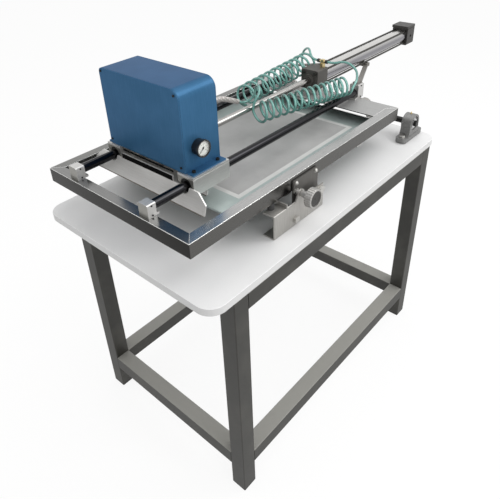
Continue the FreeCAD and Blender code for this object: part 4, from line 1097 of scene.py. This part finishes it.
@dataclass
class AirLines(Assembly):
    """The two coiled hoses between the head and the cylinder, and the sleeve that they leave."""

    nodes: tuple[tuple, ...] = ((Body.HEAD, ("hose_conduit", Paint.BRAID, 0.3, 1)),)
    diameter_mm: float = 8.0
    sleeve_x: float = -112.0
    hose_z: float = 960.0
    front_y: float = 36.4
    left_rear_y: float = 388.0
    right_rear_y: float = 330.0
    crimp_y: float = -242.0
    crimp_z: float = 1003.0

    def route(self, name: str, points: list[Vector]) -> tuple[Piece, list[Vector]]:
        """Draw a hose as a smooth line through its control points and give it its thickness.

        Args:
            name: The piece's name.
            points: Control points in mm of the part's source.

        Returns:
            The mesh tube, and the points of its centreline in metres.
        """
        curve = bpy.data.curves.new(name + "_line", "CURVE")
        curve.dimensions = "3D"
        curve.resolution_u = 3
        spline = curve.splines.new("NURBS")
        spline.points.add(len(points) - 1)
        for control, point in zip(spline.points, points):
            control.co = (*at(*point), 1.0)
        spline.order_u = 3
        spline.use_endpoint_u = True
        line = bpy.data.objects.new(name, curve)
        bpy.context.collection.objects.link(line)
        thin = bpy.data.meshes.new_from_object(line)
        centre = [vertex.co.copy() for vertex in thin.vertices]
        bpy.data.meshes.remove(thin)
        curve.bevel_depth = self.diameter_mm * MM / 2
        curve.bevel_resolution = 3
        curve.use_fill_caps = True
        activate(line)
        bpy.ops.object.convert(target="MESH")
        tube = bpy.context.object
        tube.name = name
        smooth(tube, TUBE_ANGLE)
        return tube, centre

    def hose(self, name: str, node: str, front: list[tuple], coil: Coil, rear: list[tuple],
             rear_y: float) -> None:
        """Args:
            name: The piece's name.
            node: The CAD node that it stands for.
            front: Control points from the sleeve to the coil, in mm of the part's source.
            coil: The turns between.
            rear: Control points from the coil to the cylinder's fitting.
            rear_y: Not used.
        """
        points = [Vector(p) for p in front] + coil.points() + [Vector(p) for p in rear]
        tube, centre = self.route(name, points)
        coat(tube, Paint.HOSE)
        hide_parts(node)
        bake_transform(tube)

    def left(self) -> None:
        """The loose coil on the left."""
        coil = Coil(Vector((-132.0, 79.0, 961.4)), Vector((-132.0, 450.0, 983.7)), 11.347, -55.0,
                    -1, (29.5, 32.7, 32.7))
        front = [(-116.5, 36.4, 963.6), (-116.5, 54.0, 955.0), (-115.5, 69.0, 942.0)]
        rear = [(-163.0, 449.0, 1005.0), (-146.0, 442.0, 1026.0), (-119.0, 427.0, 1036.0),
                (-98.0, 406.0, 1020.0), (-82.0, 399.0, 1010.0), (-62.0, 399.0, 1010.0)]
        self.hose("left_hose", "left_air_hose", front, coil, rear, self.left_rear_y)

    def right(self) -> None:
        """The dense coil on the right, with its large first loop."""
        coil = Coil(Vector((-14.5, 17.0, 956.5)), Vector((103.2, 323.0, 976.8)), 14.5, 180.0, 1,
                    (31.0, 28.8, 28.8), crowding=0.05)
        front = [(-107.5, 36.4, 963.6), (-107.5, 66.6, 948.9), (-83.0, 84.0, 975.0),
                 (-76.0, 82.0, 1006.0), (-50.0, 64.0, 1026.0), (-28.0, 46.0, 1010.0),
                 (-38.0, 30.0, 984.0)]
        rear = [(129.0, 338.0, 992.0), (116.0, 362.0, 1002.0), (96.0, 387.0, 1010.0),
                (58.0, 402.0, 1022.0), (26.0, 402.0, 1019.0), (4.0, 399.0, 1010.0),
                (-21.9, 399.0, 1010.0)]
        self.hose("right_hose", "right_air_hose", front, coil, rear, self.right_rear_y)

    def build(self) -> None:
        """Make both hoses, then their sleeve."""
        self.left()
        self.right()
        super().build()

    def extras(self) -> None:
        """The crimped collar that holds the sleeve."""
        collar = turned("sleeve_crimp", [(8.2, 0.0), (9.6, 1.0), (9.6, 13.0), (8.2, 14.0)],
                        at(self.sleeve_x, self.crimp_y, self.crimp_z), Axis.ALONG)
        dress(collar, Paint.BOLT, Body.HEAD)


@dataclass
class TableStand(Assembly):
    """The welded steel table: legs, two rings of rails, foot caps and the board."""

    nodes: tuple[tuple, ...] = (
        (Body.TABLE, ("table_legs", Paint.LEG, 1.6, 3), ("table_top_rails", Paint.LEG, 1.6, 3),
         ("table_lower_rails", Paint.LEG, 1.6, 3), ("foot_caps", Paint.CAP, 1.0),
         ("table_top", Paint.BOARD, 1.4, 3)),)
    bead_mm: float = 2.6
    bead_edge: float = 1.04
    leg_mm: float = 50.0

    def extras(self) -> None:
        """Weld beads where the lower rails meet the legs."""
        low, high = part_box("table_lower_rails")
        size, leg = self.bead_mm * MM, self.leg_mm * MM
        corner = Vector((low[0] + leg, low[1] + leg, low[2]))
        end = Vector((corner.x + size, corner.y + size, high[2]))
        bead = plate("bead", corner, end, self.bead_edge)
        across, along = high[0] - leg - end.x, high[1] - leg - end.y
        beads = [bead] + [copied(bead, Matrix.Translation(step)) for step in
                          ((0.0, along, 0.0), (across, 0.0, 0.0), (across, along, 0.0))]
        dress(joined("weld_beads", beads), Paint.LEG, Body.TABLE)


@dataclass
class Hinge(Assembly):
    """Pillow blocks, their bearings and bolts, the shaft and the arms on the frame."""

    nodes: tuple[tuple, ...] = (
        (Body.TABLE, ("pillow_blocks", Paint.CAST, 1.2),
         ("pillow_bearing_inserts", Paint.BEARING, 0.4), ("pillow_block_bolts", Paint.BOLT, 0.4)),
        (Body.FRAME, ("hinge_shaft", Paint.SCREW, 0.8), ("hinge_arms", Paint.BRACKET, 0.8)))
    nipple_mm: float = 3.2
    block_x: float = 258.5
    hinge_y: float = 488.5
    block_top: float = 861.8

    def extras(self) -> None:
        """A grease nipple on each pillow block."""
        profile = [(self.nipple_mm, -0.6), (self.nipple_mm, 2.4), (1.6, 3.0), (1.6, 4.6),
                   (2.1, 5.4), (1.0, 6.6)]
        left = turned("grease_nipple_left", profile,
                      at(-self.block_x, self.hinge_y, self.block_top), Axis.UP, 16)
        right = copied(left, Matrix.Translation((2 * self.block_x * MM, 0.0, 0.0)))
        right.name = "grease_nipple_right"
        for nipple in (left, right):
            dress(nipple, Paint.BRASS, Body.TABLE)


@dataclass
class SideSupports(Assembly):
    """The bent brackets beside the frame, their bolts and rubber rests, and the clamp."""

    nodes: tuple[tuple, ...] = (
        (Body.TABLE, ("side_bracket_right", Paint.BRACKET, 0.5),
         ("side_bracket_left", Paint.BRACKET, 0.5), ("bracket_bolts", Paint.BOLT, 0.4),
         ("rest_bumpers", Paint.RUBBER, 0.8)),
        (Body.PAD, ("clamp_shoe", Paint.BOLT, 0.4)),
        (Body.HANDLE, ("clamp_screw", Paint.BLOCK, 0.5), ("clamp_knob", Paint.KNOB, 0.6)))
    knob_face: float = 316.6
    clamp_y: float = -150.0
    clamp_z: float = 862.0

    def extras(self) -> None:
        """The pressed disc in the knob's face."""
        profile = [(21.0, -2.6), (21.0, -1.6), (20.2, -1.2), (16.0, -1.2), (15.2, -1.7),
                   (4.0, -1.7), (3.2, -0.9), (0.5, -0.7)]
        piece = turned("knob_disc", profile, at(self.knob_face, self.clamp_y, self.clamp_z),
                       Axis.ACROSS, 48)
        dress(piece, Paint.DISC, Body.HANDLE)


@dataclass
class PrintFrame(Assembly):
    """The tilting frame: four channel rails, the lock plate and the screws."""

    nodes: tuple[tuple, ...] = (
        (Body.FRAME, ("front_rail", Paint.RAIL_CROSS, 0.7, 3),
         ("rear_rail", Paint.RAIL_DECK, 0.7, 3), ("left_rail", Paint.RAIL_LEFT, 0.7, 3),
         ("right_rail", Paint.RAIL_SIDE, 0.7, 3), ("lock_plate", Paint.DARK_PLATE, 0.5),
         ("frame_screws", Paint.SCREW, 0.3, 1)),)
    bolt_inset: float = 12.0
    bolt_drop: float = 9.0

    def extras(self) -> None:
        """Bright domed heads over the lock plate's two screws."""
        low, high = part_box("lock_plate")
        profile = [(6.2, 0.0), (6.2, 0.8), (5.2, 0.9), (5.2, 3.0), (4.6, 4.0), (3.0, 4.9),
                   (0.8, 5.2)]
        place = Vector((high[0], low[1] + self.bolt_inset * MM, high[2] - self.bolt_drop * MM))
        front = turned("lock_bolt", profile, place, Axis.ACROSS, 24)
        step = (0.0, high[1] - low[1] - 2 * self.bolt_inset * MM, 0.0)
        rear = copied(front, Matrix.Translation(step))
        dress(joined("lock_plate_bolts", [front, rear]), Paint.BOLT, Body.FRAME)


@dataclass
class Stencil(Assembly):
    """The stencil frame with its glued mesh, tape strips and clips."""

    nodes: tuple[tuple, ...] = (
        (Body.FRAME, ("stencil_frame", Paint.BORDER, 0.6), ("stencil_clips", Paint.BOLT, 0.3)),)
    tape_mm: float = 14.0
    tape_high: float = 0.2
    tape_edge: float = 0.05
    lap: float = 0.4

    def extras(self) -> None:
        """Dress the mesh, and tape its joint with the frame."""
        coat(bpy.data.objects["stencil_foil"], Paint.MESH)
        low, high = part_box("stencil_foil")
        wide = self.tape_mm * MM
        out, over = wide * self.lap, wide * (1 - self.lap)
        base, top = high[2], high[2] + self.tape_high * MM
        left = plate("tape", Vector((low[0] - out, low[1] - out, base)),
                     Vector((low[0] + over, high[1] + out, top)), self.tape_edge)
        front = plate("tape", Vector((low[0] + over, low[1] - out, base)),
                      Vector((high[0] - over, low[1] + over, top)), self.tape_edge)
        across, along = (high[i] - low[i] - over + out for i in (0, 1))
        right = copied(left, Matrix.Translation((across, 0.0, 0.0)))
        rear = copied(front, Matrix.Translation((0.0, along, 0.0)))
        dress(joined("stencil_tape", [left, right, front, rear]), Paint.TAPE, Body.FRAME)


@dataclass
class Slide(Assembly):
    """The guide rods with their end blocks, and the carriage that runs on them."""

    nodes: tuple[tuple, ...] = (
        (Body.FRAME, ("guide_rods", Paint.ROD, 0.8), ("front_rod_blocks", Paint.BAR, 0.8),
         ("rear_rod_blocks", Paint.BLOCK, 0.8)),
        (Body.HEAD, ("bearing_blocks", Paint.BAR, 0.8), ("linear_bushings", Paint.SCREW, 0.4),
         ("carriage_plate", Paint.BLOCK, 0.6), ("rod_coupler", Paint.SCREW, 0.6)))


@dataclass
class DriveCylinder(Assembly):
    """The long pneumatic cylinder behind the head, with its caps, tie rods and fittings."""

    nodes: tuple[tuple, ...] = (
        (Body.FRAME, ("cylinder_tube", Paint.TUBE, 0.4), ("cylinder_front_cap", Paint.CASTING, 1.0),
         ("cylinder_rear_cap", Paint.CASTING_REAR, 1.0),
         ("cylinder_front_foot", Paint.BLOCK, 0.6), ("cylinder_stays", Paint.STAY, 0.6),
         ("tie_rods", Paint.TIE, 0.3)),
        (Body.HEAD, ("piston_rod", Paint.CHROME, 0.5), ("piston", Paint.BLOCK, 0.4)),
        (Body.FRAME, ("air_fitting", Paint.BRASS, 0.3), ("push_in_collars", Paint.BLACK, 0.4)))


@dataclass
class PressureGauge(Assembly):
    """The dial gauge in the cover's right side."""

    nodes: tuple[tuple, ...] = ((Body.HEAD, ("gauge_case", Paint.GAUGE, 0.8)),
                                (Body.POINTER, ("gauge_needle", Paint.INK, 0.1, 1)))
    centre_y: float = -328.0
    centre_z: float = 1013.0
    dial_x: float = 102.02
    dial_radius: float = 19.6
    first_deg: float = 225.0
    sweep_deg: float = 265.0
    steps: int = 10
    dial_top: float = 0.7
    ring_inset: float = 0.7
    ring_height: float = 2.3
    ring_mm: float = 0.9
    ring_depth: float = 1.7
    mark_outer: float = 0.93
    long_inner: float = 0.76
    short_inner: float = 0.84
    mark_wide: float = 0.7
    mark_thick: float = 0.22
    mark_edge: float = 0.05
    number_mm: float = 4.4
    number_radius: float = 11.6
    number_height: float = 0.75
    number_thick: float = 0.1

    def spot(self, height: float, radius: float, angle: float) -> Vector:
        """The place of something on the dial.

        Args:
            height: Above the dial's base, in mm.
            radius: From the dial's centre, in mm.
            angle: In radians, from the right and against the clock.

        Returns:
            The point in metres.
        """
        return at(self.dial_x + height, self.centre_y + radius * math.cos(angle),
                  self.centre_z + radius * math.sin(angle))

    def mark_angle(self, share: float) -> float:
        """Angle of a mark on the sweep, clockwise as the reader sees it, in radians."""
        return math.radians(self.first_deg - self.sweep_deg * share)

    def dial(self) -> None:
        """The white dial disc."""
        profile = [(self.dial_radius, 0.0), (self.dial_radius, 0.5),
                   (self.dial_radius - 0.4, self.dial_top), (1.2, self.dial_top)]
        piece = turned("gauge_dial", profile, self.spot(0.0, 0.0, 0.0), Axis.ACROSS, 48)
        dress(piece, Paint.DIAL, Body.HEAD)

    def ring(self) -> None:
        """The chromed ring between the lens and the dial."""
        deselect()
        bpy.ops.mesh.primitive_torus_add(major_segments=64, minor_segments=10,
                                         major_radius=(self.dial_radius - self.ring_inset) * MM,
                                         minor_radius=self.ring_mm * MM)
        piece = bpy.context.object
        piece.name = "gauge_ring"
        with editing(piece):
            bpy.ops.transform.resize(value=(1.0, 1.0, self.ring_depth),
                                     center_override=(0.0, 0.0, 0.0))
        piece.matrix_world = (Matrix.Translation(self.spot(self.ring_height, 0.0, 0.0))
                              @ lay_along(Axis.ACROSS))
        apply_place(piece)
        smooth(piece)
        dress(piece, Paint.RING, Body.HEAD)

    def scale(self) -> None:
        """Long marks at each whole number and short ones between, copied from one of each."""
        outer = self.dial_radius * self.mark_outer
        half = self.mark_wide * MM / 2
        models = []
        for share in (self.long_inner, self.short_inner):
            reach = (outer - self.dial_radius * share) * MM / 2
            models.append(plate("mark", Vector((0.0, -half, -reach)),
                                Vector((self.mark_thick * MM, half, reach)),
                                self.mark_edge))
        marks = []
        count = self.steps * 2
        for i in range(count + 1):
            inner = self.dial_radius * (self.short_inner if i % 2 else self.long_inner)
            angle = self.mark_angle(i / count)
            place = Matrix.Translation(self.spot(self.dial_top, (inner + outer) / 2, angle))
            turn = Matrix.Rotation(angle - math.pi / 2, 4, "X")
            marks.append(copied(models[i % 2], place @ turn))
        for model in models:
            bpy.data.objects.remove(model)
        dress(joined("gauge_marks", marks), Paint.INK, Body.HEAD)

    def numbers(self) -> None:
        """The dial's numbers, 0 to 10 in steps of two."""
        stand = Matrix(((0.0, 0.0, 1.0, 0.0), (1.0, 0.0, 0.0, 0.0), (0.0, 1.0, 0.0, 0.0),
                        (0.0, 0.0, 0.0, 1.0)))
        pieces = []
        for step in range(0, self.steps + 1, 2):
            deselect()
            bpy.ops.object.text_add()
            text = bpy.context.object.data
            text.body = str(step)
            text.size = self.number_mm * MM
            text.align_x = "CENTER"
            text.align_y = "CENTER"
            text.extrude = self.number_thick * MM
            bpy.ops.object.convert(target="MESH")
            number = bpy.context.object
            place = self.spot(self.number_height, self.number_radius,
                              self.mark_angle(step / self.steps))
            number.matrix_world = Matrix.Translation(place) @ stand
            apply_place(number)
            pieces.append(number)
        dress(joined("gauge_numbers", pieces), Paint.INK, Body.HEAD)

    def extras(self) -> None:
        """Dress the lens, and make the dial under it."""
        coat(bpy.data.objects["gauge_lens"], Paint.LENS)
        self.dial()
        self.ring()
        self.scale()
        self.numbers()


@dataclass
class PrintHead(Assembly):
    """The blue cover with what it carries, and the blades under it."""

    nodes: tuple[tuple, ...] = (
        (Body.HEAD, ("cover_shell", Paint.BLUE, 1.0, 3), ("cover_front_panel", Paint.BLUE, 1.2, 3),
         ("cover_rear_panel", Paint.BLUE, 1.2, 3), ("head_screws", Paint.SCREW, 0.3),
         ("squeegee_cylinders", Paint.BLOCK, 0.8)),
        (Body.SQUEEGEE, ("squeegee_holder", Paint.HOLDER, 0.6),
         ("squeegee_blade", Paint.BLADE, 0.3), ("squeegee_lift_rods", Paint.CHROME, 0.4)),
        (Body.FLOOD, ("flood_bar_holder", Paint.HOLDER, 0.6),
         ("flood_bar_blade", Paint.BLADE, 0.3), ("flood_bar_lift_rods", Paint.CHROME, 0.4)))
    strip_x: tuple[float, float] = (-159.5, 43.5)
    strip_thick: float = 0.6
    strip_below: float = 0.3
    strip_edge: float = 0.2
    # Height of the strip and Y of the face that carries it, in mm.
    apron_high: float = 15.0
    apron_face: float = -385.0
    seal_high: float = 5.7
    seal_face: float = -379.0

    def strip(self, name: str, carrier: str, high: float, face: float, body: Body) -> None:
        """Stick a black strip of painted shade on the front of a piece, under its top edge.

        Args:
            name: The strip's name.
            carrier: The CAD node that carries it.
            high: How far its lower edge lies under the carrier's top, in mm.
            face: Y of the carrier's front face, in mm.
            body: The body that it moves with.
        """
        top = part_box(carrier)[1][2] / MM
        piece = plate(name, at(self.strip_x[0], face - self.strip_thick, top - high),
                      at(self.strip_x[1], face, top - self.strip_below), self.strip_edge)
        dress(piece, Paint.SEAL, body)

    def extras(self) -> None:
        """Stick on both strips of painted shade, and make the gauge."""
        # Both strips are painted shade: black sheet where the gaps under the cover are only shadow.
        self.strip("holder_shade_strip", "squeegee_holder", self.apron_high, self.apron_face,
                   Body.SQUEEGEE)
        self.strip("plate_shade_strip", "carriage_plate", self.seal_high, self.seal_face, Body.HEAD)
        PressureGauge().build()


def main() -> None:
    """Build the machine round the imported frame, piece by piece."""
    logging.basicConfig(level=logging.INFO, format="%(name)s: %(message)s")
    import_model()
    parts = [Studio(), AirLines(), TableStand(), Hinge(), SideSupports(), PrintFrame(), Stencil(),
             Slide(), DriveCylinder(), PrintHead()]
    for part in parts:
        part.build()
        log.info("built %s", type(part).__name__)


if __name__ == "__main__":
    main()
